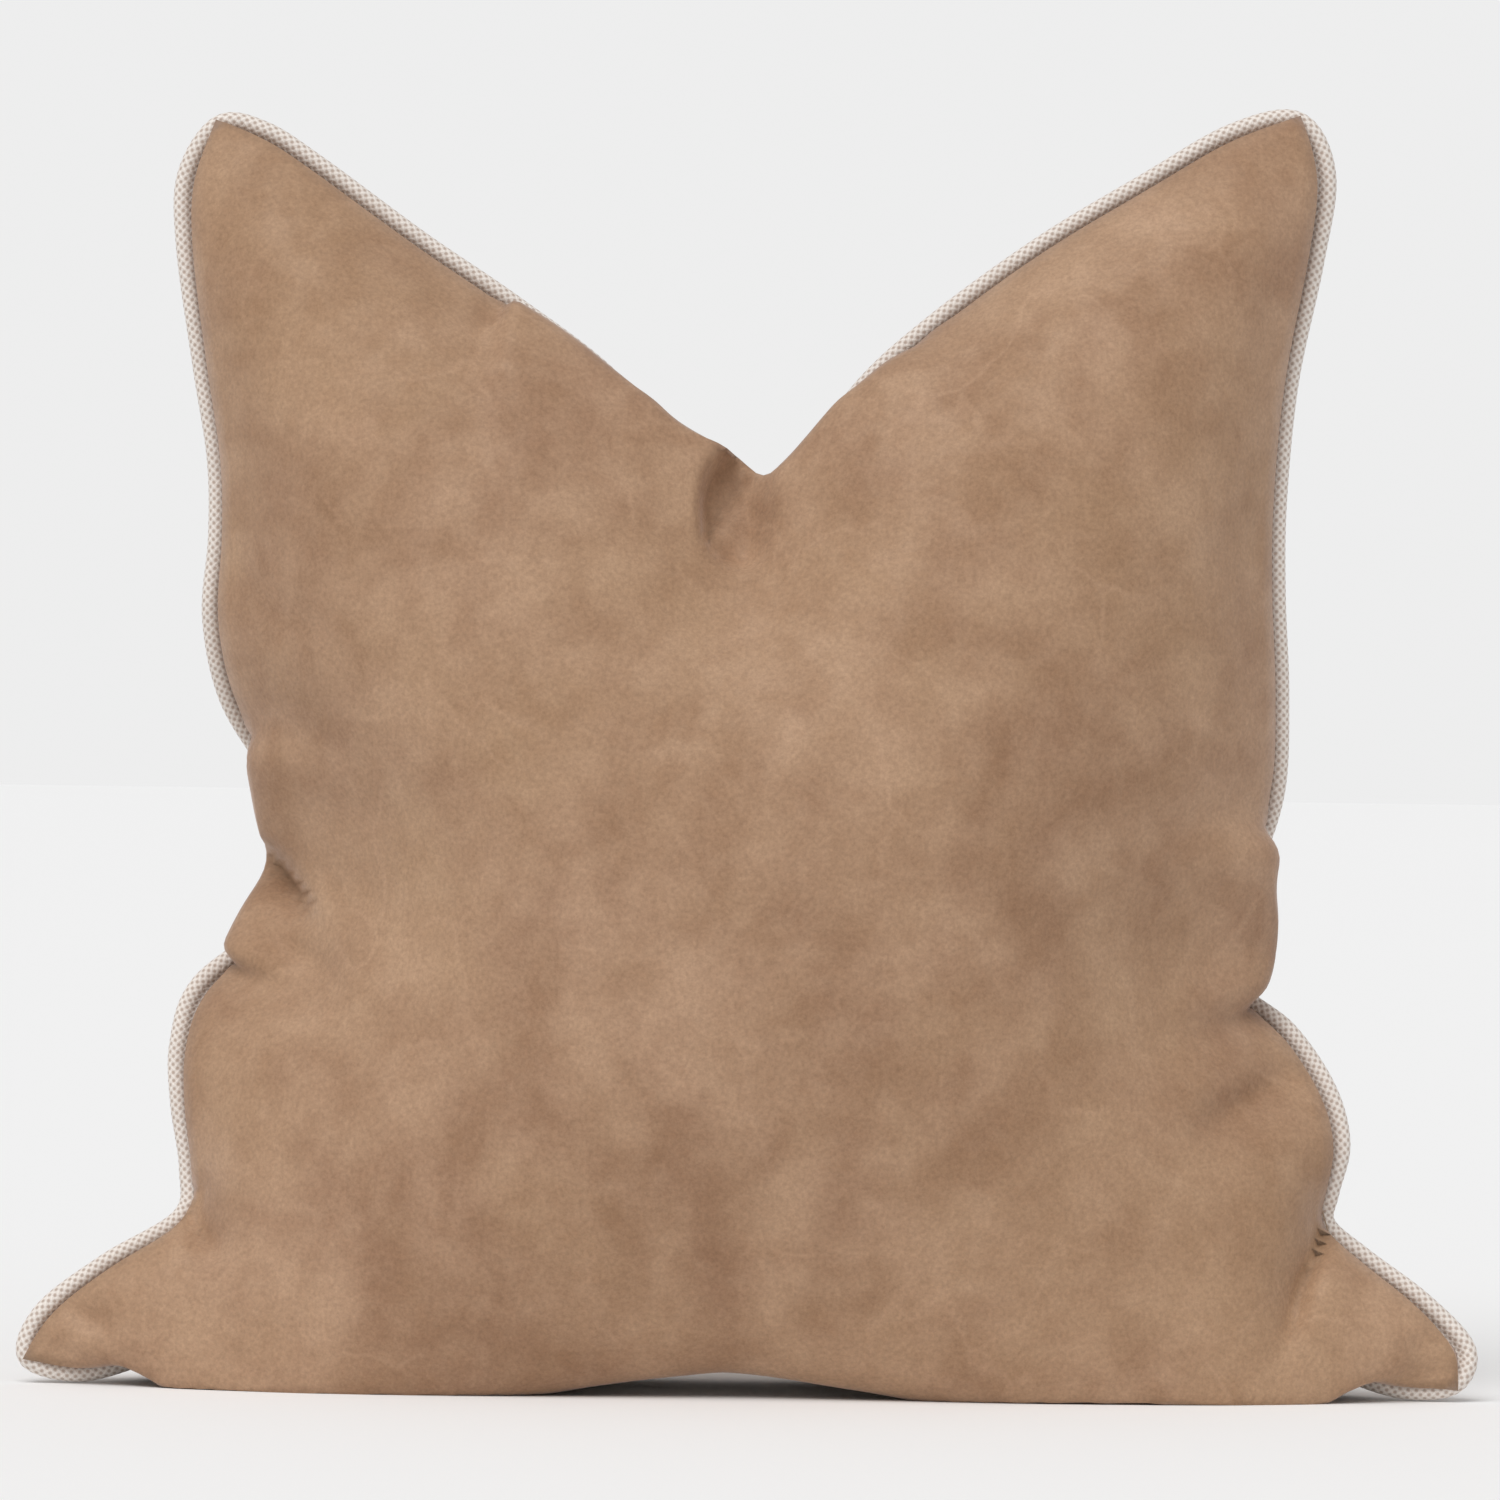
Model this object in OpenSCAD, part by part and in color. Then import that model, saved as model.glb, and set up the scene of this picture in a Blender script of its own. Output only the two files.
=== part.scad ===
// Square throw pillow that stands on its bottom corners, chopped down at the middle of its top edge.
// Two leather panels are sewn face to face round a fabric-covered welt, with a zip behind the
// bottom welt and a stuffed insert inside. X runs along the bottom seam, -Y is the front, Z is up,
// and the origin is on the surface that the pillow stands on, under its middle.

/* [Cover] */
// Width across the bottom corners, over the welt
pillow_w = 544; // [440:1:700]
// Height to the top corners, over the welt
pillow_h = 482; // [390:1:620]
// How far the front panel swells forward of the seam
front_swell = 95; // [60:1:130]
// How far the back panel swells behind the seam
back_swell = 87; // [60:1:130]
// Height of the middle of the bottom above the surface, between the two feet
arch_h = 14; // [6:1:24]
// Thickness of the leather
leather_t = 1.2; // [0.8:0.1:1.8]
// Width of the leather turned inside along the seam
allowance_w = 9; // [6:0.5:12]

/* [Welt] */
// Outside diameter of the covered welt
welt_d = 7; // [5:0.5:10]
// Thickness of the welt fabric
welt_fabric_t = 0.45; // [0.3:0.05:0.8]
// Width of the two welt lips that are caught in the seam
lip_w = 8.5; // [5:0.5:12]
// Thickness of the sewing thread
thread_d = 0.45; // [0.3:0.05:0.6]

/* [Zip] */
// Diameter of each coil of the zip
coil_d = 2; // [1.4:0.1:3]
// Thickness of the zip tapes
tape_t = 0.5; // [0.3:0.1:0.8]
// Height of the zip tapes inside the cover, above the coils
tape_h = 10; // [8:0.5:14]
// Length of the slider
slider_l = 9; // [7:0.5:14]
// Length of the pull, from its pin to its tip
pull_l = 19; // [14:1:22]
// Width of the pull
pull_w = 5; // [3.6:0.1:6]
// Diameter of the pin that the pull hangs from
pin_d = 1.4; // [1:0.1:1.8]

/* [Insert] */
// Thickness of the insert's cotton ticking
ticking_t = 0.4; // [0.3:0.05:0.8]
// Room between the leather and the insert
insert_ease = 4.5; // [2:0.5:6]
// Width of the care label
label_w = 30; // [20:1:45]
// Height of the care label
label_h = 10; // [8:1:12]

/* [Hidden] */

// The welt's centre line, corner by corner, at a width of 537 and a height of 474 between its
// outermost points. Each point is [x, y, height above the lowest point].
seam_w = 537;
seam_h = 474;
left_seam = [[-268, -12, 6], [-262, -10, 23], [-239, -6, 41], [-212, 0, 58], [-210, 5, 76],
             [-214, 10, 100], [-215, 16, 122], [-208, 26, 144], [-180, 40, 168], [-166, 48, 196],
             [-184, 40, 226], [-199, 26, 252], [-205, 16, 282], [-203, 14, 312], [-204, 16, 341],
             [-210, 18, 376], [-217, 20, 421], [-217, 22, 448]];
top_seam = [[-205, 22, 467], [-188, 20, 465], [-167, 18, 452], [-128, 14, 424], [-92, 10, 400],
            [-56, 6, 373], [-30, 2, 341], [-10, 0, 302], [12, 0, 331], [36, 3, 368],
            [63, 6, 394], [104, 11, 425], [144, 15, 450], [176, 18, 469]];
right_seam = [[201, 22, 474], [212, 22, 454], [208, 22, 421], [199, 20, 376], [195, 18, 331],
              [195, 18, 296], [197, 20, 258], [196, 24, 221], [186, 34, 191], [168, 42, 166],
              [184, 32, 146], [202, 20, 132], [216, 8, 111], [221, 2, 91], [217, 0, 73],
              [216, 4, 61], [230, 2, 49], [252, -4, 33], [268, -8, 16]];
bottom_seam = [[264, -10, 3], [248, -8, 0], [230, -5, 4], [214, -1, 12], [190, 0, 20],
               [95, 0, 20], [0, 0, 20], [-95, 0, 20], [-190, 0, 20], [-214, -1, 12],
               [-231, -5, 4], [-250, -10, 0]];
straight_half = 190;          // half of the straight stretch of the bottom seam
straight_rise = 20;           // height of that stretch above the lowest point

// Clearances
fold_gap = 0.7;               // from the welt to the fold of the leather
layer_gap = 0.4;              // between layers that are sewn together
slit_gap = 0.15;              // between the two lips of the welt
floor_gap = 0.3;              // from the welt's lowest point to the surface
rim_gap = 0.3;                // between the two halves of the ticking
foot_gap = 0.1;               // from each coil to the foot of its tape, and to the slider's flange
zip_clearance = 1;            // from the folded leather to the slider
pin_drop = 0.2;               // from the slider to the pull's ring
label_gap = 0.4;              // from the lockstitch up to the care label
heel_gap = 0.9;               // from the fold's inner face to where the allowance starts
insert_lift = 8;              // from the zip tapes up to the insert's own seam

// The seam, scaled to the driving sizes
welt_r = welt_d / 2;
scale_x = (pillow_w - welt_d) / seam_w;
scale_z = (pillow_h - welt_d - floor_gap) / seam_h;
lowest = welt_r + floor_gap;
sides = [left_seam, top_seam, right_seam, bottom_seam];
knots = [for (s = sides) for (p = s) [p.x * scale_x, p.y, lowest + p.z * scale_z]];
n_left = len(left_seam);
n_top = n_left + len(top_seam);
n_right = n_top + len(right_seam);
corner = [0, n_left, n_top, n_right, len(knots)];

// Stations: the number of cells along each side, and how much closer they get at its ends and middle
n = 24;
grading = 0.5;
m = 4 * n;
chords = 5;                   // chords that each stretch between two knots is measured with

function mix(a, b, t) = a + (b - a) * t;
function smooth(t) = let (c = max(0, min(1, t))) c * c * (3 - 2 * c);
function unit(v) = v / norm(v);
function grade(t) = t - grading * sin(720 * t) / (4 * PI);
function knot(i) = knots[(i + len(knots)) % len(knots)];
function spline(a, b, c, d, t) =
    0.5 * (2 * b + (c - a) * t + (2 * a - 5 * b + 4 * c - d) * t * t
           + (3 * b - a - 3 * c + d) * t * t * t);
function side_line(s) =
    [for (i = [corner[s] : corner[s + 1] - 1]) for (c = [0 : chords - 1])
        spline(knot(i - 1), knot(i), knot(i + 1), knot(i + 2), c / chords),
     knot(corner[s + 1])];
function lengths(p) =
    [for (i = 0, s = 0; i < len(p); s = s + (i < len(p) - 1 ? norm(p[i + 1] - p[i]) : 0), i = i + 1) s];
function tables(keys, p) = [for (a = [0 : 2]) [for (i = [0 : len(p) - 1]) [keys[i], p[i][a]]]];
function read(t, key) = [lookup(key, t[0]), lookup(key, t[1]), lookup(key, t[2])];

lines = [for (s = [0 : 3]) side_line(s)];
spans = [for (l = lines) lengths(l)];
totals = [for (l = spans) l[len(l) - 1]];
cover_side = (totals[0] + totals[1] + totals[2] + totals[3]) / 4;
side_tables = [for (s = [0 : 3]) tables(spans[s], lines[s])];
seam = [for (s = [0 : 3]) for (i = [0 : n - 1]) read(side_tables[s], grade(i / n) * totals[s])];

// At each station: the way into the pillow, and how much the turned-in layers narrow at a corner
corner_reach = 45;
corner_share = 0.5;
inward = [for (k = [0 : m - 1])
    let (t = seam[(k + 1) % m] - seam[(k + m - 1) % m]) unit([t.z, 0, -t.x])];
narrow = [for (k = [0 : m - 1])
    let (f = grade((k % n) / n), d = min(f, 1 - f) * cover_side)
    mix(corner_share, 1, smooth(d / corner_reach))];
function inset(d, taper = true) =
    [for (k = [0 : m - 1]) seam[k] + inward[k] * (welt_r + fold_gap + d * (taper ? narrow[k] : 1))];

// Where a station lies on the square panel, as [u, v] from its bottom left corner
function place(k, d) =
    let (e = d / cover_side, f = e + (1 - 2 * e) * grade((k % n) / n), s = floor(k / n))
    s == 0 ? [e, f] : s == 1 ? [f, 1 - e] : s == 2 ? [1 - e, 1 - f] : [1 - f, e];

// The zip's place: behind the welt, on the straight stretch
zip_margin = 20;
zip_half = straight_half * scale_x - zip_margin;
seam_z = lowest + straight_rise * scale_z;
fold_z = seam_z + welt_r + fold_gap;
lip_half = welt_fabric_t + slit_gap / 2;
coil_r = coil_d / 2;
post_w = 0.5;
post_gap = 0.1;
plate_t = 1;
plate_gap = 0.3;
coil_u = post_w / 2 + post_gap + coil_r;           // from the middle of the chain to each coil
coil_edge = coil_u + coil_r;
flange_t = 0.45;
slider_half = coil_edge + foot_gap + flange_t;
side_gap = 0.8;                                    // between the slider and the upright tapes
front_tape_y = lip_half + layer_gap;
chain_y = front_tape_y + tape_t + side_gap + slider_half;
back_tape_y = chain_y + slider_half + side_gap;    // near face of the back tape's upright part
plate_w = coil_r + plate_gap;                      // from the chain's plane to each slider plate
chain_z = fold_z + plate_w + plate_t + zip_clearance;
seam_gap = lip_half + layer_gap;                   // from the seam's plane to the leather
zip_gap = back_tape_y + tape_t + layer_gap;        // the same, behind the zip
zip_fade = 27;

// The panels: bands along the seam, then a grid across the middle
band_w = 9;
bands = [1, 3, band_w];
edge_h = 2 * leather_t + 1.2;                      // swell of the leather next to the seam
edge_r = 3;
heel_rise = 0.1;
fullness = 0.6;
belly_at = 0.08;
belly_spread_in = 1.15;                            // towards the seam
belly_spread_out = 0.8;                            // towards the middle of the panel
foot_press = 3;
arch_half = 0.2;
ear_share = 0.12;
settle = 0.3;

rim = inset(band_w);
steps = [for (i = [0 : n]) grade(i / n)];
rim_tables = [
    tables(steps, [for (i = [0 : n]) rim[i]]),
    tables(steps, [for (i = [0 : n]) rim[n + i]]),
    tables(steps, [for (i = [0 : n]) rim[3 * n - i]]),
    tables(steps, [for (i = [0 : n]) rim[(4 * n - i) % m]])];
function across(u, v) =
    let (l = read(rim_tables[0], v), r = read(rim_tables[2], v),
         b = read(rim_tables[3], u), t = read(rim_tables[1], u),
         p = mix(l, r, u) + mix(b, t, v)
             - mix(mix(rim[0], rim[3 * n], u), mix(rim[n], rim[2 * n], u), v),
         inner = smooth(min(u, 1 - u, v, 1 - v) / settle))
    [p.x, p.y * (1 - 0.9 * inner), p.z];

function zip_window(x) = 1 - smooth((abs(x) - zip_half - zip_margin) / zip_fade);
function edge_gap(x, v, back) =
    back ? mix(seam_gap, zip_gap, zip_window(x) * (1 - smooth(v / 0.15))) : seam_gap;
function arch(u) = arch_h * exp(-pow((u - 0.5) / arch_half, 2)) - foot_press;
function column_z(u, v) = mix(lookup(u, rim_tables[3][2]), lookup(u, rim_tables[1][2]), v);
function belly(u, v) =
    max(0, column_z(u, belly_at) - arch(u)) * smooth(min(u, 1 - u) / ear_share)
    * exp(-pow(ln(max(v, 0.0001) / belly_at)
               / (v < belly_at ? belly_spread_in : belly_spread_out), 2) / 2);
function swell(u, v) =
    pow(sin(180 * u), fullness) * pow(sin(180 * v), fullness);
function edge_swell(u, v) =
    let (d = min(u, 1 - u, v, 1 - v) * cover_side)
    edge_h * sqrt(1 - pow(1 - min(d / edge_r, 1), 2));
function skin(p, uv, back) =
    let (u = max(0, min(1, uv[0])), v = max(0, min(1, uv[1])),
         out = edge_gap(p.x, v, back) + edge_swell(u, v)
               + (back ? back_swell : front_swell) * swell(u, v))
    [p.x, p.y + (back ? out : -out), max(0, p.z - belly(u, v))];

// A point of the middle of the panel, whose u and v run over the square inside the bands
band_share = band_w / cover_side;
function panel_uv(u, v) = [mix(band_share, 1 - band_share, u), mix(band_share, 1 - band_share, v)];
function middle(u, v, back) = skin(across(u, v), panel_uv(u, v), back);

function grid_of(back) = [for (i = [0 : n]) [for (j = [0 : n]) middle(steps[i], steps[j], back)]];
function rings_of(back) =
    [for (d = concat([0], bands))
        let (base = inset(d)) [for (k = [0 : m - 1]) skin(base[k], place(k, d), back)]];

// Rim of the grid in station order, and each rim point's neighbour inside
function rim_cell(k) =
    let (i = k % n, s = floor(k / n))
    s == 0 ? [0, i] : s == 1 ? [i, n] : s == 2 ? [n, n - i] : [n - i, 0];
function inner_cell(k) =
    let (c = rim_cell(k)) [max(1, min(n - 1, c[0])), max(1, min(n - 1, c[1]))];
function cell(grid, c) = grid[c[0]][c[1]];

function offset_rings(rings, grid, d, back) =
    [for (r = [1 : len(rings) - 1]) [for (k = [0 : m - 1])
        let (along = rings[r][(k + 1) % m] - rings[r][(k + m - 1) % m],
             inner = r < len(rings) - 1 ? rings[r + 1][k] : cell(grid, inner_cell(k)),
             in = inner - rings[r - 1][k],
             out = unit(cross(in, along)) * (back ? -1 : 1))
        lifted(rings[r][k] - out * d, d)]];
function offset_grid(grid, d, back) =
    [for (i = [1 : n - 1]) [for (j = [1 : n - 1])
        let (a = grid[i + 1][j] - grid[i - 1][j], b = grid[i][j + 1] - grid[i][j - 1],
             out = unit(cross(a, b)) * (back ? -1 : 1))
        lifted(grid[i][j] - out * d, d)]];

function lifted(p, h) = [p.x, p.y, max(h, p.z)];
function flat(lists) = [for (l = lists) for (p = l) p];
function flipped(faces, flip) = flip ? [for (f = faces) [for (i = [len(f) - 1 : -1 : 0]) f[i]]] : faces;

// Faces between two closed rings of count points that start at indices a and b. The back panel's
// are cut along the other diagonal, as its side of the welt's lips is.
function band_faces(a, b, count, turned = false) =
    flat([for (k = [0 : count - 1])
        let (l = (k + 1) % count)
        turned ? [[a + k, a + l, b + k], [a + l, b + l, b + k]]
               : [[a + k, a + l, b + l], [a + k, b + l, b + k]]]);
// Faces of a square grid whose rim is a ring that starts at index a, and whose inside starts at b
function ring_index(i, j, size) =
    i == 0 ? j : j == size ? size + i : i == size ? 3 * size - j : (4 * size - i) % (4 * size);
function grid_index(i, j, size, a, b) =
    (i == 0 || j == 0 || i == size || j == size) ? a + ring_index(i, j, size)
                                                 : b + (i - 1) * (size - 1) + j - 1;
function grid_faces(size, a, b) =
    flat([for (i = [0 : size - 1]) for (j = [0 : size - 1])
        let (p = grid_index(i, j, size, a, b), q = grid_index(i + 1, j, size, a, b),
             r = grid_index(i + 1, j + 1, size, a, b), s = grid_index(i, j + 1, size, a, b))
        (i < size / 2) == (j < size / 2) ? [[p, s, r], [p, r, q]] : [[p, s, q], [q, s, r]]]);

// One leather panel: its outer face, its turned-in allowance and its inner face, in one skin
module leather_panel(back) {
    way = back ? 1 : -1;
    rings = rings_of(back);
    grid = grid_of(back);
    inner_rings = offset_rings(rings, grid, leather_t, back);
    inner_grid = offset_grid(grid, leather_t, back);
    fold = rings[0];
    allowance = inset(allowance_w);
    heel = inset(leather_t + heel_gap, false);
    function turned(base, extra) =
        [for (k = [0 : m - 1])
            [base[k].x, base[k].y + way * (edge_gap(base[k].x, place(k, 0)[1], back) + extra), base[k].z]];
    outer_rings = [for (r = [1 : len(rings) - 1]) rings[r]];
    outer_middle = [for (i = [1 : n - 1]) [for (j = [1 : n - 1]) grid[i][j]]];
    // Closed rings from the outer grid's rim, over the fold and the allowance, to the inner rim
    loops = concat([for (r = [len(outer_rings) - 1 : -1 : 0]) outer_rings[r]], [fold],
                   [turned(allowance, 0), turned(allowance, leather_t),
                    turned(heel, leather_t + heel_rise)],
                   inner_rings);
    points = concat(flat(loops), flat(outer_middle), flat(inner_grid));
    count = len(loops);
    outer_start = count * m;
    inner_start = outer_start + (n - 1) * (n - 1);
    faces = concat(grid_faces(n, 0, outer_start),
                   flat([for (r = [0 : count - 2]) band_faces((r + 1) * m, r * m, m, back)]),
                   flipped(grid_faces(n, (count - 1) * m, inner_start), true));
    polyhedron(points, flipped(faces, back), convexity = 10);
}

// A closed sweep round the seam of a section given as [inward, back] points for each station
module seam_sweep(sections) {
    count = len(sections[0]);
    points = [for (k = [0 : m - 1]) for (q = sections[k]) seam[k] + inward[k] * q[0] + [0, q[1], 0]];
    faces = flat([for (k = [0 : m - 1]) for (i = [0 : count - 1])
        let (a = k * count, b = ((k + 1) % m) * count, j = (i + 1) % count)
        [[a + i, b + j, b + i], [a + i, a + j, b + j]]]);
    polyhedron(points, faces, convexity = 10);
}

// The fabric strip: round the cord, then two lips side by side
cover_sides = 7;
module welt_cover() {
    r_in = welt_r - welt_fabric_t;
    slit = slit_gap / 2;
    a_in = asin(slit / r_in);
    a_out = asin(lip_half / welt_r);
    function arc(r, a) = [for (i = [0 : cover_sides]) let (t = mix(a, 360 - a, i / cover_sides))
        [r * cos(t), r * sin(t)]];
    inside = arc(r_in, a_in);
    outside = arc(welt_r, a_out);
    color("linen") seam_sweep([for (k = [0 : m - 1])
        let (end = welt_r + lip_w * narrow[k])
        concat([[end, slit]], inside, [[end, -slit], [end, -lip_half]],
               [for (i = [cover_sides : -1 : 0]) outside[i]], [[end, lip_half]])]);
}

cord_sides = 8;
cord_gap = 0.25;
module welt_cord() {
    r = (welt_r - welt_fabric_t) * cos(180 / cover_sides) - cord_gap;
    color("ivory") seam_sweep([for (k = [0 : m - 1])
        [for (i = [cord_sides - 1 : -1 : 0]) let (t = 360 * (i + 0.5) / cord_sides)
            [r * cos(t), r * sin(t)]]]);
}

// The lockstitch: one run on each side of the sewn layers
stitch_in = 3.2;
thread_gap = 0.25;
module seam_thread() {
    h = thread_d / 2;
    color("tan") for (way = [-1, 1]) {
        seam_sweep([for (k = [0 : m - 1])
            let (y = way * (edge_gap(seam[k].x, place(k, 0)[1], way > 0)
                            + leather_t + thread_gap + h),
                 s = welt_r + fold_gap + stitch_in * (1 + narrow[k]) / 2)
            [[s + h, y], [s, y - h], [s - h, y], [s, y + h]]]);
    }
}

// A zip tape: an upright strip sewn to the allowance, and a foot that carries the coil
tape_low = 0.7;
module zip_tape(face, way) {
    y_foot = chain_y + way * (coil_edge + foot_gap);
    y_wall = way > 0 ? face + tape_t : face;
    low = chain_z - tape_low;
    color("tan") union() {
        translate([-zip_half, face, low]) cube([2 * zip_half, tape_t, tape_low + tape_h]);
        translate([-zip_half, min(y_foot, y_wall), low])
            cube([2 * zip_half, abs(y_wall - y_foot), tape_t]);
    }
}
module zip_tape_front() zip_tape(front_tape_y, -1);
module zip_tape_back() zip_tape(back_tape_y, 1);

// The rows of stitches that hold the two tapes
stitch_up = 3;
zip_thread_end = 4;
module zip_thread() {
    r = thread_d / 2;
    color("tan")
        for (y = [front_tape_y + tape_t + thread_gap + r, back_tape_y - thread_gap - r])
            translate([-zip_half + zip_thread_end, y, chain_z + tape_h - stitch_up])
                rotate([0, 90, 0]) cylinder(r = r, h = 2 * (zip_half - zip_thread_end), $fn = 24);
}

// The coils, the stops and the slider
stop_l = 3;
stop_gap = 0.2;
coil_half = zip_half - stop_l - stop_gap;
module zip_coil(way) {
    color("burlywood") translate([-coil_half, chain_y + way * coil_u, chain_z])
        rotate([0, 90, 0]) cylinder(r = coil_r, h = 2 * coil_half, $fn = 32);
}
module zip_coil_front() zip_coil(-1);
module zip_coil_back() zip_coil(1);

stop_h = coil_d;
module zip_top_stops() {
    color("darkgoldenrod") for (way = [-1, 1])
        translate([zip_half - stop_l, chain_y + way * coil_u - coil_r, chain_z - stop_h / 2])
            cube([stop_l - stop_gap, coil_d, stop_h]);
}
module zip_bottom_stop() {
    color("darkgoldenrod")
        translate([-zip_half + stop_gap, chain_y - coil_edge, chain_z - stop_h / 2])
            cube([stop_l - stop_gap, 2 * coil_edge, stop_h]);
}

slider_end = 1;
slider_x = coil_half - slider_end - slider_l / 2;
ear_t = 0.7;
ear_wall = 0.5;
flange_low = 0.1;
post_in = 2;
post_l = 1.6;
pin_clearance = 0.07;
ring_wall = 0.6;
ring_r = pin_d / 2 + pin_clearance + ring_wall;
pin_w = plate_w + plate_t + ring_r + pin_drop;          // from the chain's plane down to the pin
pin_z = chain_z - pin_w;
plate_half = 0.6;                                  // half the thickness of the pull
ear_gap = 0.2;
module zip_slider() {
    r = pin_d / 2;
    ear_in = plate_half + ear_gap;
    ear_r = r + ear_wall;
    color("darkgoldenrod") translate([slider_x, chain_y, chain_z]) union() {
        translate([-slider_l / 2, -slider_half, plate_w]) cube([slider_l, 2 * slider_half, plate_t]);
        translate([-slider_l / 2, -slider_half, -plate_w - plate_t])
            cube([slider_l, 2 * slider_half, plate_t]);
        for (way = [-1, 1])
            translate([-slider_l / 2, way > 0 ? slider_half - flange_t : -slider_half, flange_low])
                cube([slider_l, flange_t, plate_w]);
        translate([slider_l / 2 - post_in, -post_w / 2, -plate_w - plate_t / 2])
            cube([post_l, post_w, 2 * plate_w + plate_t]);
        for (way = [-1, 1])
            translate([0, way > 0 ? ear_in : -ear_in - ear_t, 0]) {
                translate([0, ear_t, -pin_w]) rotate([90, 0, 0]) cylinder(r = ear_r, h = ear_t, $fn = 32);
                translate([-ear_r, 0, -pin_w]) cube([2 * ear_r, ear_t, pin_w - plate_w - plate_t / 2]);
            }
        translate([0, ear_in + ear_t, -pin_w]) rotate([90, 0, 0])
            cylinder(r = r, h = 2 * (ear_in + ear_t), $fn = 32);
    }
}

// The pull hangs from the pin: a ring, a neck and a rounded leaf
neck_w = 2.2;
leaf_start = 6;
neck_lap = 1;
module zip_pull() {
    leaf_r = pull_w / 2;
    color("darkgoldenrod") translate([slider_x, chain_y + plate_half, pin_z]) rotate([90, 0, 0])
        linear_extrude(2 * plate_half) difference() {
            union() {
                circle(r = ring_r, $fn = 48);
                translate([-neck_w / 2, -leaf_start - neck_lap]) square([neck_w, leaf_start + neck_lap]);
                translate([0, -pull_l + leaf_r]) circle(r = leaf_r, $fn = 48);
                translate([-leaf_r, -pull_l + leaf_r])
                    square([pull_w, pull_l - 2 * leaf_r - leaf_start + leaf_r]);
            }
            circle(r = pin_d / 2 + pin_clearance, $fn = 48);
        }
}

// The care label, caught against the front allowance above the lockstitch
label_t = 0.3;
label_x = -120;
module care_label() {
    color("white")
        translate([label_x * scale_x - label_w / 2, -seam_gap - leather_t - thread_gap - label_t,
                   fold_z + stitch_in + thread_d + label_gap])
            cube([label_w, label_t, label_h]);
}

// The insert: a smaller pillow whose layers all run under the same lines of the leather's grid
insert_u = [4, 5, 6, 8, 9, 10, 11, 12, 13, 14, 15, 16, 18, 19, 20];
insert_v = [4, 5, 6, 7, 8, 9, 10, 11, 12, 13, 14, 16, 18, 19, 20];
insert_low = chain_z + tape_h + insert_ease + insert_lift;   // lowest height of its own seam
n_in = len(insert_u) - 1;
insert_edge = 25;
fill_gap = 1.3;
function share(list, i) =
    (steps[list[i]] - steps[list[0]]) / (steps[list[n_in]] - steps[list[0]]);
function narrowed(list, i, depth) =
    mix(steps[list[0]] + depth / cover_side, steps[list[n_in]] - depth / cover_side, share(list, i));
function insert_rim(i, j, depth, back, rim_y) =
    lifted(across(narrowed(insert_u, i, depth), narrowed(insert_v, j, depth))
           + [0, back ? rim_y : -rim_y, 0], insert_low + depth);
function insert_point(grid, i, j, back, rim_y) =
    let (p = insert_u[i], q = insert_v[j],
         out = unit(cross(grid[p + 1][q] - grid[p - 1][q], grid[p][q + 1] - grid[p][q - 1]))
               * (back ? -1 : 1),
         below = leather_t + insert_ease,
         full = lifted(grid[p][q] - out * below, below),
         s = share(insert_u, i), t = share(insert_v, j),
         d = min(s, 1 - s, t, 1 - t) * cover_side)
    mix(insert_rim(i, j, 0, back, rim_y), full, sqrt(1 - pow(1 - min(d / insert_edge, 1), 2)));
function insert_skin(grid, back, rim_y) =
    [for (i = [0 : n_in]) [for (j = [0 : n_in]) insert_point(grid, i, j, back, rim_y)]];
// A layer that lies depth inside the insert's skin, along the skin's own normals
function insert_layer(skin, depth, back, rim_y) =
    [for (i = [0 : n_in]) [for (j = [0 : n_in])
        min(i, j, n_in - i, n_in - j) == 0
            ? insert_rim(i, j, depth, back, rim_y)
            : skin[i][j] - unit(cross(skin[i + 1][j] - skin[i - 1][j],
                                      skin[i][j + 1] - skin[i][j - 1]))
                           * (back ? -depth : depth)]];
function insert_ring(skin) =
    [for (k = [0 : 4 * n_in - 1])
        let (i = k % n_in, s = floor(k / n_in),
             c = s == 0 ? [0, i] : s == 1 ? [i, n_in] : s == 2 ? [n_in, n_in - i] : [n_in - i, 0])
        skin[c[0]][c[1]]];
function insert_middle(skin) =
    [for (i = [1 : n_in - 1]) for (j = [1 : n_in - 1]) skin[i][j]];

module ticking_half(back) {
    ring = 4 * n_in;
    inner = (n_in - 1) * (n_in - 1);
    rim_y = rim_gap / 2;
    outside = insert_skin(grid_of(back), back, rim_y);
    inside = insert_layer(outside, ticking_t, back, rim_y);
    points = concat(insert_ring(outside), insert_ring(inside),
                    insert_middle(outside), insert_middle(inside));
    faces = concat(grid_faces(n_in, 0, 2 * ring),
                   band_faces(ring, 0, ring),
                   flipped(grid_faces(n_in, ring, 2 * ring + inner), true));
    polyhedron(points, flipped(faces, back), convexity = 10);
}

module insert_fill() {
    ring = 4 * n_in;
    inner = (n_in - 1) * (n_in - 1);
    depth = ticking_t + fill_gap;
    front = insert_layer(insert_skin(grid_of(false), false, 0), depth, false, 0);
    back = insert_layer(insert_skin(grid_of(true), true, 0), depth, true, 0);
    points = concat(insert_ring(front), insert_middle(front), insert_middle(back));
    faces = concat(grid_faces(n_in, 0, ring), flipped(grid_faces(n_in, 0, ring + inner), true));
    color("whitesmoke") polyhedron(points, faces, convexity = 10);
}

module front_panel() color("rosybrown") leather_panel(false);
module back_panel() color("rosybrown") leather_panel(true);
module insert_front() color("ivory") ticking_half(false);
module insert_back() color("ivory") ticking_half(true);

front_panel();
back_panel();
welt_cover();
welt_cord();
seam_thread();
zip_tape_front();
zip_tape_back();
zip_thread();
zip_coil_front();
zip_coil_back();
zip_top_stops();
zip_bottom_stop();
zip_slider();
zip_pull();
care_label();
insert_front();
insert_back();
insert_fill();
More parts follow.
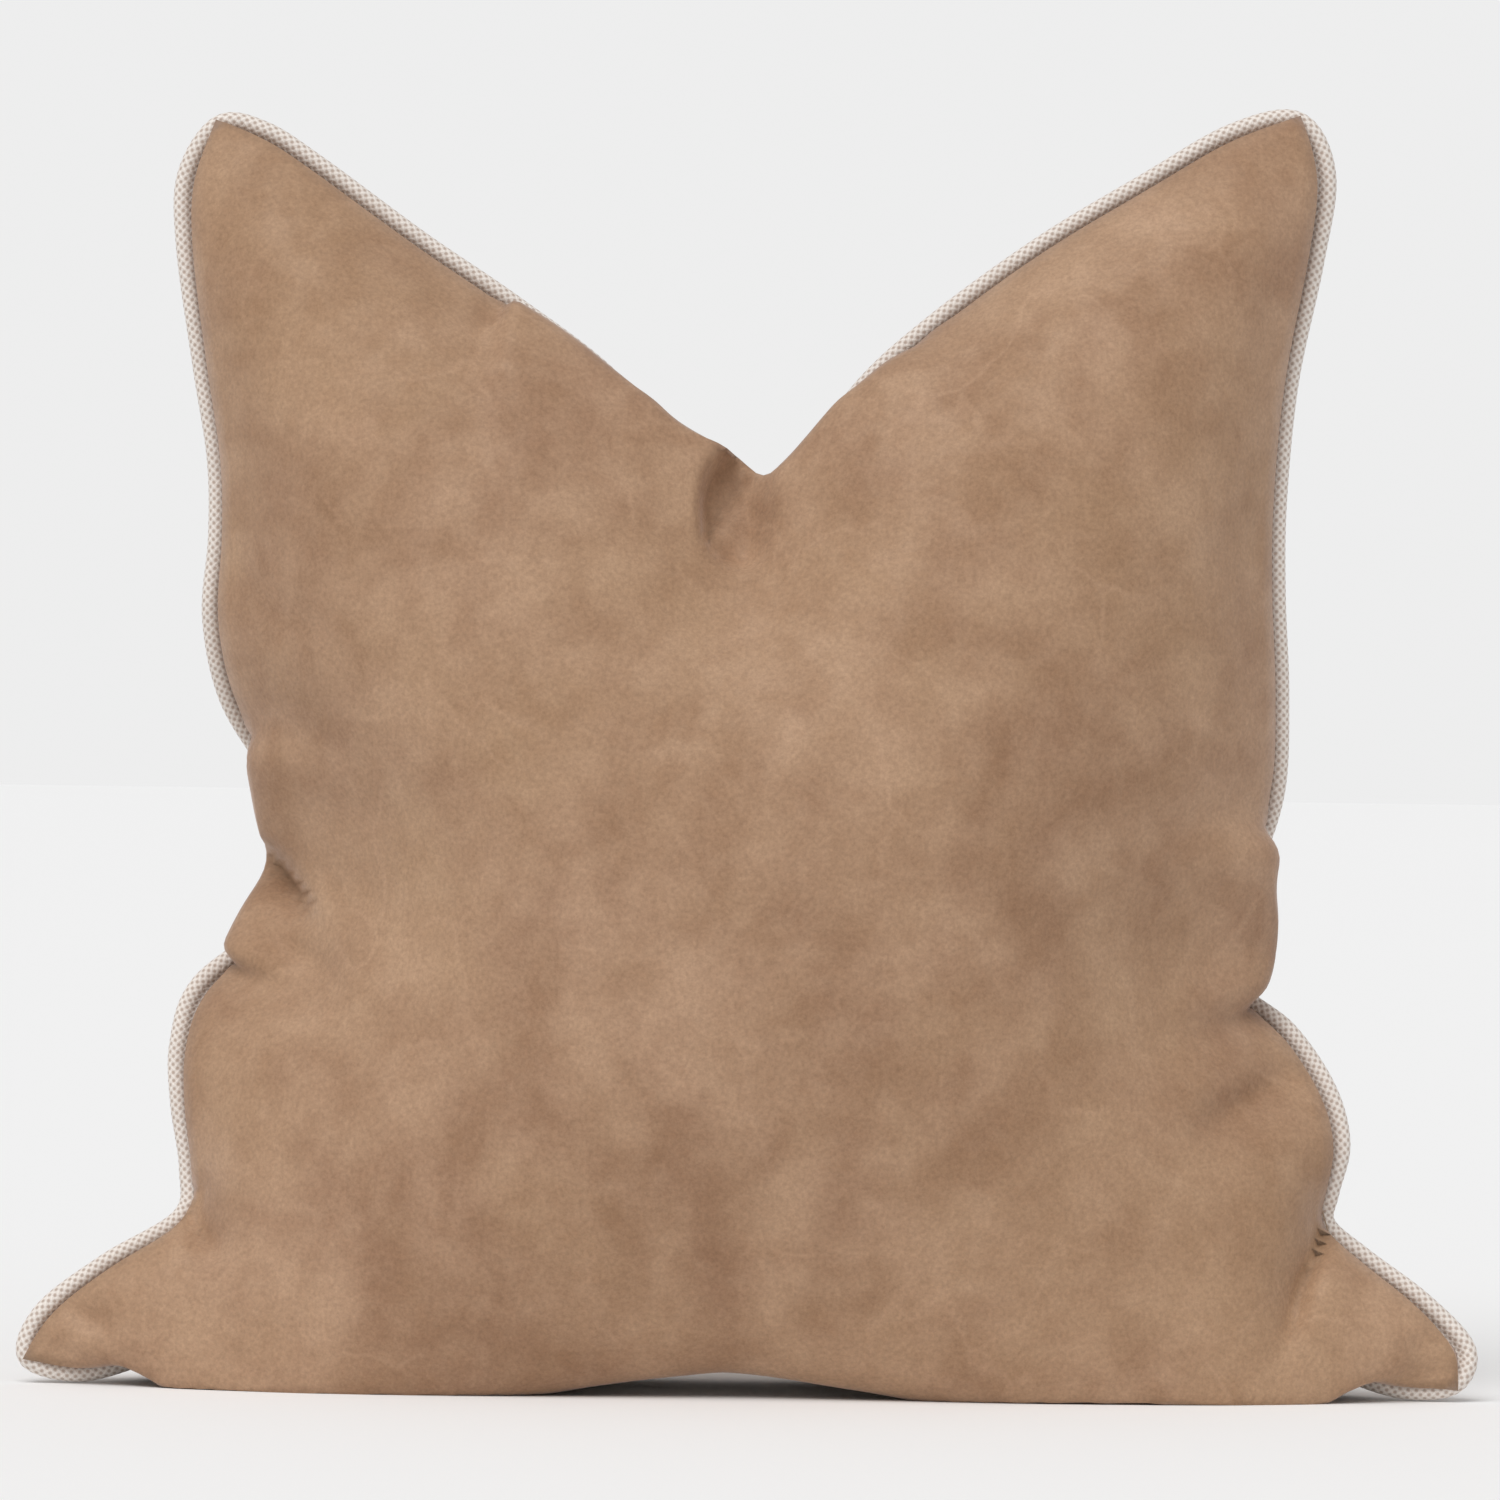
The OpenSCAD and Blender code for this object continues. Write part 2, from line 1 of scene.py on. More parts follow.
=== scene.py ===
"""A throw pillow with a leather cover, a woven welt, a bottom zip and a stuffed insert."""

import math

import bmesh
import bpy
import numpy as np
from bpy.props import FloatProperty, FloatVectorProperty, IntProperty, PointerProperty
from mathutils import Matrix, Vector, geometry, noise


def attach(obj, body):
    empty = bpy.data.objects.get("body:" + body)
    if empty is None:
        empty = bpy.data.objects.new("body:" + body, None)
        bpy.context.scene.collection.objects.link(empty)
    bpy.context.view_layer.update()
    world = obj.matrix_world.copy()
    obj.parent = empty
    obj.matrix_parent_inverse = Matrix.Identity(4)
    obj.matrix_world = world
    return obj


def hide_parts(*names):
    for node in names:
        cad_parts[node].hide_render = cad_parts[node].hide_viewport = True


bl_info = {
    "name": "Throw pillow",
    "version": (1, 0, 0),
    "blender": (4, 5, 0),
    "location": "3D View > Sidebar > Pillow",
    "description": "Builds a leather throw pillow round its CAD frame",
    "category": "Object",
}

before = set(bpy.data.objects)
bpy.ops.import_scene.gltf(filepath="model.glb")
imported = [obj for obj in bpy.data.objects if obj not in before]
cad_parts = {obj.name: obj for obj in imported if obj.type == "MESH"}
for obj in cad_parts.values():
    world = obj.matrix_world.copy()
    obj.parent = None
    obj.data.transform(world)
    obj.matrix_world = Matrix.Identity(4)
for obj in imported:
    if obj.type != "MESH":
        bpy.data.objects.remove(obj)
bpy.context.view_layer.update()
MM = 0.001

# The welt's centre line, corner by corner: x, y and the height above its lowest point, in mm
LEFT = ((-268, -12, 6), (-262, -10, 23), (-239, -6, 41), (-212, 0, 58), (-210, 5, 76),
        (-214, 10, 100), (-215, 16, 122), (-208, 26, 144), (-180, 40, 168), (-166, 48, 196),
        (-184, 40, 226), (-199, 26, 252), (-205, 16, 282), (-203, 14, 312), (-204, 16, 341),
        (-210, 18, 376), (-217, 20, 421), (-217, 22, 448))
TOP = ((-205, 22, 467), (-188, 20, 465), (-167, 18, 452), (-128, 14, 424), (-92, 10, 400),
       (-56, 6, 373), (-30, 2, 341), (-10, 0, 302), (12, 0, 331), (36, 3, 368),
       (63, 6, 394), (104, 11, 425), (144, 15, 450), (176, 18, 469))
RIGHT = ((201, 22, 474), (212, 22, 454), (208, 22, 421), (199, 20, 376), (195, 18, 331),
         (195, 18, 296), (197, 20, 258), (196, 24, 221), (186, 34, 191), (168, 42, 166),
         (184, 32, 146), (202, 20, 132), (216, 8, 111), (221, 2, 91), (217, 0, 73),
         (216, 4, 61), (230, 2, 49), (252, -4, 33), (268, -8, 16))
BOTTOM = ((264, -10, 3), (248, -8, 0), (230, -5, 4), (214, -1, 12), (190, 0, 20),
          (95, 0, 20), (0, 0, 20), (-95, 0, 20), (-190, 0, 20), (-214, -1, 12),
          (-231, -5, 4), (-250, -10, 0))
SIDES = (LEFT, TOP, RIGHT, BOTTOM)
SEAM_WIDTH = 537
SEAM_HEIGHT = 474
LEFT_SIDE, TOP_SIDE, RIGHT_SIDE = range(3)

# Where the leather bulges out past the seam and hides it, seen from the front: x and height above
# the floor, in mm, along each outline
OVER_LEFT = ((-199, 262), (-193, 240), (-187, 218), (-183, 206), (-177, 194), (-187, 184),
             (-195, 172), (-202, 160))
OVER_TOP = ((-93.5, 409.4), (-62, 389), (-33, 367), (-6.3, 341), (-1.5, 334), (0.8, 338),
            (23.6, 369), (53, 393), (83, 413))
OVER_RIGHT = ((199, 212), (197.3, 200), (195, 189), (194.3, 178), (193.3, 167), (191, 155),
              (187, 144))

# Each side's outline, the way in which the leather leans over it, and how far its ends blur
OVER = {LEFT_SIDE: (OVER_LEFT, (-1, 0, 0), 4), TOP_SIDE: (OVER_TOP, (0, 0, 1), 2),
        RIGHT_SIDE: (OVER_RIGHT, (1, 0, 0), 4)}


# Sizes and colours

class PillowSizes(bpy.types.PropertyGroup):
    width: FloatProperty(name="Width", description="Width across the bottom corners",
                         default=0.544, unit="LENGTH")
    height: FloatProperty(name="Height", description="Height as the pillow stands",
                          default=0.482, unit="LENGTH")
    front_swell: FloatProperty(name="Front swell", description="How far the front stands out",
                               default=0.095, unit="LENGTH")
    back_swell: FloatProperty(name="Back swell", description="How far the back stands out",
                              default=0.087, unit="LENGTH")
    leather: FloatProperty(name="Leather", description="Thickness of the leather",
                           default=0.0012, unit="LENGTH")
    welt: FloatProperty(name="Welt", description="Diameter of the welt",
                        default=0.007, unit="LENGTH")
    weave: FloatProperty(name="Weave", description="Width of one cell of the welt's weave",
                         default=0.0022, unit="LENGTH")
    cells: IntProperty(name="Cells", description="Cells along each side of a leather panel",
                       default=160, min=32, max=256)


class PillowColours(bpy.types.PropertyGroup):
    leather_light: FloatVectorProperty(name="Leather, light", subtype="COLOR", size=3,
                                       description="Lighter tone of the leather",
                                       default=(0.46, 0.29, 0.183))
    leather_dark: FloatVectorProperty(name="Leather, dark", subtype="COLOR", size=3,
                                      description="Darker, redder tone of the leather",
                                      default=(0.29, 0.159, 0.089))
    leather_warm: FloatVectorProperty(name="Leather, warm", subtype="COLOR", size=3,
                                      description="Yellower tone of the leather's blotches",
                                      default=(0.42, 0.265, 0.145))
    welt_light: FloatVectorProperty(name="Welt, light", subtype="COLOR", size=3,
                                    description="Yarn of the welt", default=(0.92, 0.86, 0.80))
    welt_dark: FloatVectorProperty(name="Welt, dark", subtype="COLOR", size=3,
                                   description="Shaded yarn between the cells",
                                   default=(0.48, 0.38, 0.32))


def sizes():
    return bpy.context.scene.pillow_sizes


def colours():
    return bpy.context.scene.pillow_colours


# The seam

FOLD_GAP = 0.0007
FLOOR_GAP = 0.0003
CHORDS = 16


def knots():
    """The welt's knots in metres, and the index at which each side starts."""
    s = sizes()
    scale_x = (s.width / MM - s.welt / MM) / SEAM_WIDTH
    scale_z = (s.height / MM - s.welt / MM - FLOOR_GAP / MM) / SEAM_HEIGHT
    lowest = s.welt / 2 + FLOOR_GAP
    points = [Vector((x * scale_x * MM, y * MM, lowest + z * scale_z * MM))
              for side in SIDES for x, y, z in side]
    starts = [0]
    for side in SIDES:
        starts.append(starts[-1] + len(side))
    return points, starts


def seam_line(count):
    """count stations along each side: places and the ways into the pillow, as arrays."""
    points, starts = knots()
    n = len(points)
    stations = []
    for a, b in zip(starts, starts[1:]):
        line = []
        for k in range(a, b):
            p, q, r, t = (points[(k + d) % n] for d in (-1, 0, 1, 2))
            line += geometry.interpolate_bezier(q, q + (r - p) / 6, r - (t - q) / 6, r,
                                                CHORDS + 1)[:-1]
        line.append(points[b % n])
        line = np.array(line)
        run = np.concatenate([[0], np.cumsum(np.linalg.norm(np.diff(line, axis=0), axis=1))])
        at = np.arange(count) / count * run[-1]
        stations.append(np.stack([np.interp(at, run, line[:, c]) for c in range(3)], 1))
    line = np.concatenate(stations)
    along = np.roll(line, -1, 0) - np.roll(line, 1, 0)
    inward = np.stack([along[:, 2], 0 * along[:, 0], -along[:, 0]], 1)
    return line, inward / np.linalg.norm(inward, axis=1)[:, None]


def smooth(t):
    t = np.clip(t, 0, 1)
    return t * t * (3 - 2 * t)


# The leather's skin

SEAM_GAP = 0.0009
ZIP_GAP = 0.0097
ZIP_REACH = 0.190
ZIP_FADE = 0.027
FULLNESS = 0.6
BELLY_AT = 0.08
BELLY_IN, BELLY_OUT = 1.15, 0.8
ARCH, ARCH_HALF, FOOT_PRESS = 0.014, 0.2, 0.003
EAR_SHARE = 0.12
BOTTOM_BAND = 0.045
PLAN_ROUNDS = 800
FILM_ROUNDS = 6

# How the leather is carried out over the seam, in metres, and over how many cells that blurs
REACH_MOST = 0.06
CREST, CREST_GROWS = 0.013, 0.005
TUCK, TUCK_FADE = 0.0042, 0.0065
BLUR_CELLS = 160


def seam_gap(x, back):
    """From the seam's plane to the leather's edge: wider at the back, behind the zip."""
    if not back:
        return np.full_like(x, -SEAM_GAP)
    return SEAM_GAP + (ZIP_GAP - SEAM_GAP) * (1 - smooth((np.abs(x) - ZIP_REACH) / ZIP_FADE))


def edge_ring(line, inward, back):
    ring = line + inward * (sizes().welt / 2 + FOLD_GAP)
    low = ring[:, 2] < line[:, 2].min() + BOTTOM_BAND
    gap = np.where(low, seam_gap(ring[:, 0], back), SEAM_GAP if back else -SEAM_GAP)
    ring[:, 1] += gap
    return ring


def rim_index(i, j, n):
    """The station of a point on the rim of a panel's grid."""
    if i == 0:
        return j
    if j == n:
        return n + i
    if i == n:
        return 3 * n - j
    return (4 * n - i) % (4 * n)


def blank(ring, n):
    """A surface across the ring, as an (n + 1, n + 1, 3) array."""
    left, top = ring[:n + 1], ring[n:2 * n + 1]
    right = ring[[3 * n - k for k in range(n + 1)]]
    bottom = ring[[(4 * n - k) % (4 * n) for k in range(n + 1)]]
    u, v = np.meshgrid(np.linspace(0, 1, n + 1), np.linspace(0, 1, n + 1), indexing="ij")
    u, v = u[..., None], v[..., None]
    return ((1 - u) * left[None] + u * right[None] + (1 - v) * bottom[:, None] + v * top[:, None]
            - (1 - u) * (1 - v) * left[0] - (1 - u) * v * left[n]
            - u * (1 - v) * right[0] - u * v * right[n])


def doubled(field):
    """The field on a grid with twice the cells."""
    for axis in (0, 1):
        field = np.moveaxis(field, axis, 0)
        finer = np.repeat(field, 2, 0)[:-1].astype(float)
        finer[1::2] = (field[:-1] + field[1:]) / 2
        field = np.moveaxis(finer, 0, axis)
    return field


def even_grid(rings):
    """A grid across each ring in turn, from coarse to fine, with lines that keep well apart."""
    plan = None
    for ring, rounds in rings:
        n = len(ring) // 4
        edges = blank(ring[:, [0, 2]], n)
        if plan is None:
            plan = edges.copy()
        else:
            plan = doubled(plan)
            for rim in (np.s_[0, :], np.s_[n, :], np.s_[:, 0], np.s_[:, n]):
                plan[rim] = edges[rim]
        for _ in range(rounds):
            du = (plan[2:, 1:-1] - plan[:-2, 1:-1]) / 2
            dv = (plan[1:-1, 2:] - plan[1:-1, :-2]) / 2
            a, c = (dv ** 2).sum(-1, keepdims=True), (du ** 2).sum(-1, keepdims=True)
            b = (du * dv).sum(-1, keepdims=True)
            cross = (plan[2:, 2:] - plan[:-2, 2:] - plan[2:, :-2] + plan[:-2, :-2]) / 4
            plan[1:-1, 1:-1] = ((a * (plan[2:, 1:-1] + plan[:-2, 1:-1])
                                 + c * (plan[1:-1, 2:] + plan[1:-1, :-2]) - 2 * b * cross)
                                / (2 * (a + c)))
    return plan


def membrane(plan, rim, load, rounds, guess=None):
    """A film stretched over the plan from the values on its rim, under an even load."""
    film = rim.copy() if guess is None else guess
    n = len(plan) - 1
    for side in (np.s_[0, :], np.s_[n, :], np.s_[:, 0], np.s_[:, n]):
        film[side] = rim[side]
    du = np.linalg.norm(plan[1:] - plan[:-1], axis=-1)
    dv = np.linalg.norm(plan[:, 1:] - plan[:, :-1], axis=-1)
    wide = (du[1:, 1:-1] + du[:-1, 1:-1]) / 2
    tall = (dv[1:-1, 1:] + dv[1:-1, :-1]) / 2
    west, east = tall / du[:-1, 1:-1], tall / du[1:, 1:-1]
    south, north = wide / dv[1:-1, :-1], wide / dv[1:-1, 1:]
    total = west + east + south + north
    for _ in range(rounds):
        film[1:-1, 1:-1] = (west * film[:-2, 1:-1] + east * film[2:, 1:-1]
                            + south * film[1:-1, :-2] + north * film[1:-1, 2:]
                            + load * wide * tall) / total
    return film


def reach(place, way, outline):
    """How far the outline is from a place, along a way, or 0 if it isn't met."""
    best = 0
    for (x0, z0), (x1, z1) in zip(outline, outline[1:]):
        a, b = Vector((x0, z0)) * MM, Vector((x1, z1)) * MM
        met = geometry.intersect_line_line_2d(place, place + way * REACH_MOST, a, b)
        if met is not None:
            best = max(best, (met - place).length)
    return best


def carried(n, line, inward):
    """How far each point of the grid is carried out: over the welt, or right over the seam."""
    moved = np.zeros((n + 1, n + 1, 3))
    side = np.linalg.norm(np.roll(line, -1, 0) - line, axis=1).sum() / 4
    away = np.arange(n + 1) / n * side
    fold = away / CREST * np.exp(1 - away / CREST)
    edge = np.where(away > 0, np.exp(-(away - side / n) / TUCK_FADE), 0)
    for which in range(4):
        stations = (np.arange(n + 1) + which * n) % (4 * n)
        size, way = np.zeros(n + 1), np.zeros(3)
        if which in OVER:
            outline, way, blur = OVER[which]
            met = np.array([reach(Vector(line[k, [0, 2]]), Vector((way[0], way[2])), outline)
                            for k in stations])
            window = np.hanning(2 * (blur * n // BLUR_CELLS) + 3)
            size = np.convolve(np.where(met > 0, met + CREST * smooth(met / CREST_GROWS), 0),
                               window / window.sum(), "same")
        tuck = -inward[stations] * TUCK * (1 - smooth(size / CREST))[:, None]
        shift = ((size[:, None] * np.array(way))[:, None] * fold[None, :, None]
                 + tuck[:, None] * edge[None, :, None])
        if which == LEFT_SIDE:
            moved += shift.transpose(1, 0, 2)
        elif which == TOP_SIDE:
            moved += shift[:, ::-1]
        elif which == RIGHT_SIDE:
            moved += shift.transpose(1, 0, 2)[::-1, ::-1]
        else:
            moved += shift[::-1]
    return moved


def start_shape(back, cells=None):
    """The panel's outer skin, on a square grid."""
    s = sizes()
    n = cells or s.cells
    levels = [(n // 4, PLAN_ROUNDS), (n // 2, PLAN_ROUNDS // 4), (n, PLAN_ROUNDS // 8)]
    rings = []
    for count, rounds in levels:
        line, inward = seam_line(count)
        rings.append((edge_ring(line, inward, back), rounds))
    ring = rings[-1][0]
    plan = even_grid(rings)
    flat = blank(ring, n)
    film, middle = None, None
    for k, (count, rounds) in enumerate(levels):
        step = n // count
        part = plan[::step, ::step]
        film = membrane(part, np.zeros(part.shape[:2]), 1.0, FILM_ROUNDS * rounds,
                        None if film is None else doubled(film))
        edges = blank(rings[k][0], count)[..., 1]
        middle = membrane(part, edges, 0, FILM_ROUNDS * rounds,
                          None if middle is None else doubled(middle))
    skin = np.stack([plan[..., 0], middle, plan[..., 1]], -1)
    swell = (film / film.max()) ** FULLNESS
    skin[..., 1] += swell * (s.back_swell if back else -s.front_swell)
    share = np.linspace(0, 1, n + 1)
    v = np.meshgrid(share, share, indexing="ij")[1]
    column = (1 - BELLY_AT) * flat[:, 0, 2] + BELLY_AT * flat[:, n, 2]
    arch = ARCH * np.exp(-((share - 0.5) / ARCH_HALF) ** 2) - FOOT_PRESS
    sag = np.clip(column - arch, 0, None) * smooth(np.minimum(share, 1 - share) / EAR_SHARE)
    spread = np.where(v < BELLY_AT, BELLY_IN, BELLY_OUT)
    rise = np.log(np.clip(v, 0.0001, 1) / BELLY_AT) / spread
    skin[..., 2] -= sag[:, None] * np.exp(-rise ** 2 / 2)
    skin += carried(n, line, inward)
    skin[..., 2] = np.maximum(skin[..., 2], 0)
    for rim in (np.s_[0, :], np.s_[n, :], np.s_[:, 0], np.s_[:, n]):
        skin[rim] = flat[rim]
    return skin


# Meshes

def grid_mesh(bm, places):
    """Adds a grid whose points take the places of an (a, b, 3) array. Returns each point's cell."""
    a, b = places.shape[0] - 1, places.shape[1] - 1
    made = bmesh.ops.create_grid(bm, x_segments=a, y_segments=b, size=1, calc_uvs=True)
    cells = {v: (round((v.co.x + 1) / 2 * a), round((v.co.y + 1) / 2 * b)) for v in made["verts"]}
    for vert, cell in cells.items():
        vert.co = places[cell]
    return cells


def new_object(name, bm, back=None):
    """A smooth-shaded object from bm, whose faces point outwards. back says where a skin is."""
    bmesh.ops.recalc_face_normals(bm, faces=bm.faces)
    if back is not None:
        facing(bm, back)
    mesh = bpy.data.meshes.new(name)
    bm.to_mesh(mesh)
    bm.free()
    for polygon in mesh.polygons:
        polygon.use_smooth = True
    made = bpy.data.objects.new(name, mesh)
    bpy.context.scene.collection.objects.link(made)
    return made


# Creases of the leather: points x and height, depth, half the width of their floor, how fast the
# depth fades on their deep side and on the other one (mm), which side is deep (1 is left), and how
# much of the depth is left at the first and the last point
CREASES = (
    (((-183, 199), (-175, 190), (-168, 180), (-161, 168)), 20, 0, 9, 2, -1, 1, 0),
    (((-190, 174), (-172, 163), (-146, 147)), 11, 0, 14, 9, -1, 0.5, 0),
    (((-178, 205), (-150, 216), (-110, 214)), 3, 0, 12, 12, -1, 0.8, 0),
    (((210, 127), (186, 112), (156, 97)), 9, 0, 12, 8, 1, 0.6, 0),
    (((-208, 70), (-204, 56), (-192, 44)), 11, 0, 9, 4, 1, 1, 0),
    (((-262, 32), (-250, 26), (-228, 19)), 6, 0, 7, 4, 1, 0.6, 0),
    (((-262, 14), (-246, 11)), 3.5, 0, 5, 4, 1, 0.6, 0),
    (((220, 72), (206, 44), (198, 16)), 13, 0, 8, 3, -1, 1, 0.1),
    (((256, 24), (244, 19)), 3.5, 0, 6, 4, 1, 0.6, 0),
    (((258, 12), (236, 8)), 4, 0, 6, 4, 1, 0.6, 0),
    (((198, 330), (180, 318), (160, 322)), 2.5, 0, 12, 10, 1, 0.5, 0),
    (((-192, 300), (-176, 286), (-150, 280)), 2.5, 0, 12, 10, 1, 0.5, 0),
)
CREASE_END = 0.45


# The hollow under the chop: its middle, half sizes and edge, and the line at which the left lobe
# goes down behind the right one, all in mm
HOLLOW = (-6, 328)
HOLLOW_HALF = (17.5, 25)
HOLLOW_EDGE, HOLLOW_DEPTH = 4, 17
HOLLOW_RIGHT, HOLLOW_SOFT = 10, 16
CONTACT, CONTACT_WAY, CONTACT_EDGE, CONTACT_SHARE = (-1, 342), (-0.56, -0.83), 2.5, 0.6
CONTACT_END = 312


def hollow_depth(skin):
    """How deep the hollow under the chop lies at each point of the skin."""
    x, z = skin[..., 0] / MM, skin[..., 2] / MM
    far = np.hypot((x - HOLLOW[0]) / HOLLOW_HALF[0], (z - HOLLOW[1]) / HOLLOW_HALF[1])
    inside = smooth((1 - far) * HOLLOW_HALF[0] / HOLLOW_EDGE)
    right = smooth((HOLLOW_RIGHT - x) / HOLLOW_SOFT)
    behind = (z - CONTACT[1]) * -CONTACT_WAY[0] + (x - CONTACT[0]) * CONTACT_WAY[1]
    step = smooth(behind / CONTACT_EDGE + 0.5) * smooth((z - CONTACT_END) / CONTACT_EDGE + 0.5)
    share = CONTACT_SHARE + (1 - CONTACT_SHARE) * step
    return HOLLOW_DEPTH * MM * inside * right * share


def crease_depth(skin, points, depth, floor, fade, fade_other, side, first, last):
    """How deep one crease lies at each point of the skin."""
    flat = skin[..., [0, 2]] / MM
    found = np.full(flat.shape[:2], 1e9)
    signed = np.zeros(flat.shape[:2])
    along = np.zeros(flat.shape[:2])
    runs = [math.dist(a, b) for a, b in zip(points, points[1:])]
    start = 0
    for (a, b), run in zip(zip(points, points[1:]), runs):
        a, b = np.array(a, float), np.array(b, float)
        way = (b - a) / run
        off = flat - a
        t = np.clip(off @ way, 0, run)
        gap = off - t[..., None] * way
        far = np.linalg.norm(gap, axis=-1)
        turn = np.sign(way[0] * off[..., 1] - way[1] * off[..., 0])
        near = far < found
        found = np.where(near, far, found)
        signed = np.where(near, turn, signed)
        along = np.where(near, start + t, along)
        start += run
    share = along / sum(runs)
    ends = ((first + (1 - first) * smooth(share / CREASE_END))
            * (last + (1 - last) * smooth((1 - share) / CREASE_END)))
    width = np.where(signed * side > 0, fade, fade_other)
    return depth * MM * ends * np.exp(-(np.clip(found - floor, 0, None) / width) ** 1.5)


PUCKER = 0.0007
PUCKER_SIZE = 0.028
PUCKER_REACH = 0.035
SWAY = 0.0016
SWAY_SIZE = 0.09
EDGE_REACH = 0.012
CREASE_REACH = 0.005
CLEAR_STATIONS = 256
WELT_ROOM = 0.0008
ZIP_HEIGHT = 0.045


def outward(skin, back):
    """The ways out of the pillow at each point of the skin."""
    out = np.cross(np.gradient(skin, axis=0), np.gradient(skin, axis=1))
    out /= np.linalg.norm(out, axis=-1)[..., None]
    return -out if back else out


def clear_of_seam(skin, back):
    """The skin moved off the welt, and off the zip that lies behind it."""
    line, _ = seam_line(CLEAR_STATIONS)
    least = sizes().welt / 2 + WELT_ROOM
    for row in skin[1:-1]:
        gap = row[1:-1, None] - line[None]
        far = np.linalg.norm(gap, axis=-1)
        near = far.argmin(1)
        pick = np.arange(len(near))
        far = far[pick, near]
        push = np.clip(least - far, 0, None) / far
        row[1:-1] += gap[pick, near] * push[:, None]
    inner = skin[1:-1, 1:-1]
    limit = seam_gap(inner[..., 0], back)
    y = np.maximum(inner[..., 1], limit) if back else np.minimum(inner[..., 1], limit)
    zip_zone = (inner[..., 2] < ZIP_HEIGHT) & (np.abs(inner[..., 0]) < ZIP_REACH + ZIP_FADE)
    inner[..., 1] = np.where(zip_zone, y, inner[..., 1])
    return skin


def worn_in(skin, back):
    """The skin with its creases, and the slight waves of soft leather over feathers."""
    n = len(skin) - 1
    out = outward(skin, back)
    share = np.arange(n + 1) / n
    u, v = np.meshgrid(share, share, indexing="ij")
    side = sizes().width
    edge = np.minimum.reduce([u, 1 - u, v, 1 - v]) * side
    held = smooth(edge / EDGE_REACH)
    move = np.zeros(skin.shape[:2])
    for i in range(n + 1):
        for j in range(n + 1):
            p = Vector(skin[i, j])
            move[i, j] = (noise.noise(p / SWAY_SIZE) * SWAY
                          + noise.noise(p / PUCKER_SIZE) * PUCKER
                          * math.exp(-edge[i, j] / PUCKER_REACH))
    skin = skin + out * (move * held)[..., None]
    if not back:
        sunk = hollow_depth(skin)
        for crease in CREASES:
            sunk += crease_depth(skin, *crease)
        skin[..., 1] += sunk * smooth(edge / CREASE_REACH)
    skin = clear_of_seam(skin, back)
    skin[..., 2] = np.maximum(skin[..., 2], 0)
    return skin


# Pieces

MERGE = 1e-7
RIM_MERGE = 1e-6
ALLOWANCE = 0.009
CORNER_REACH = 0.08
CORNER_LEAST = 0.4


def corner_share(station, n):
    """How far the turned-in edges narrow towards a corner."""
    share = (station % n) / n
    edge = np.minimum(share, 1 - share)
    return CORNER_LEAST + (1 - CORNER_LEAST) * smooth(edge / CORNER_REACH)


def thicken(piece, thickness):
    """Gives a skin its thickness, inwards."""
    wall = piece.modifiers.new("thickness", "SOLIDIFY")
    wall.thickness = thickness
    wall.offset = -1


def facing(bm, back):
    """Turns an open skin's faces so that they look away from the seam's plane."""
    total = sum(f.normal.y * f.calc_area() for f in bm.faces)
    if (total < 0) == back:
        bmesh.ops.reverse_faces(bm, faces=bm.faces)


def panel(name, back):
    """A leather panel: its skin, the edge turned in along the seam, and its thickness."""
    s = sizes()
    n = s.cells
    inward = seam_line(n)[1]
    bm = bmesh.new()
    bm.loops.layers.uv.new("UVMap")
    cells = grid_mesh(bm, worn_in(start_shape(back), back))
    station = {vert: rim_index(i, j, n) for vert, (i, j) in cells.items()
               if i in (0, n) or j in (0, n)}
    turned = bmesh.ops.extrude_edge_only(bm, edges=[e for e in bm.edges if e.is_boundary])
    for vert in turned["geom"]:
        if isinstance(vert, bmesh.types.BMVert):
            k = next(station[e.other_vert(vert)] for e in vert.link_edges
                     if e.other_vert(vert) in station)
            vert.co += Vector(inward[k] * ALLOWANCE * corner_share(k, n))
    made = new_object(name, bm, back)
    thicken(made, s.leather)
    return made


def sweep(name, line, inward, offsets):
    """A closed skin along the seam. offsets holds each station's section, as ways in and back."""
    places = (line[:, None] + inward[:, None] * offsets[..., :1]
              + offsets[..., 1:] * np.array([0, 1.0, 0]))
    places = np.concatenate([places, places[:1]])
    places = np.concatenate([places, places[:, :1]], 1)
    bm = bmesh.new()
    bm.loops.layers.uv.new("UVMap")
    grid_mesh(bm, places)
    bmesh.ops.remove_doubles(bm, verts=bm.verts, dist=MERGE)
    return new_object(name, bm)


AROUND = 12
NECK = math.radians(25)
LIP_HALF = 0.0006
LIP_START = 0.0006
LIP = 0.0085
LIP_POINTS = 4
RELIEF = 0.0006


def welt_cells():
    """How many points of the welt's weave lie along each side of the seam."""
    line, _ = seam_line(CLEAR_STATIONS)
    run = np.linalg.norm(np.roll(line, -1, 0) - line, axis=1).sum()
    return round(run / 4 / (sizes().weave / math.sqrt(2)))


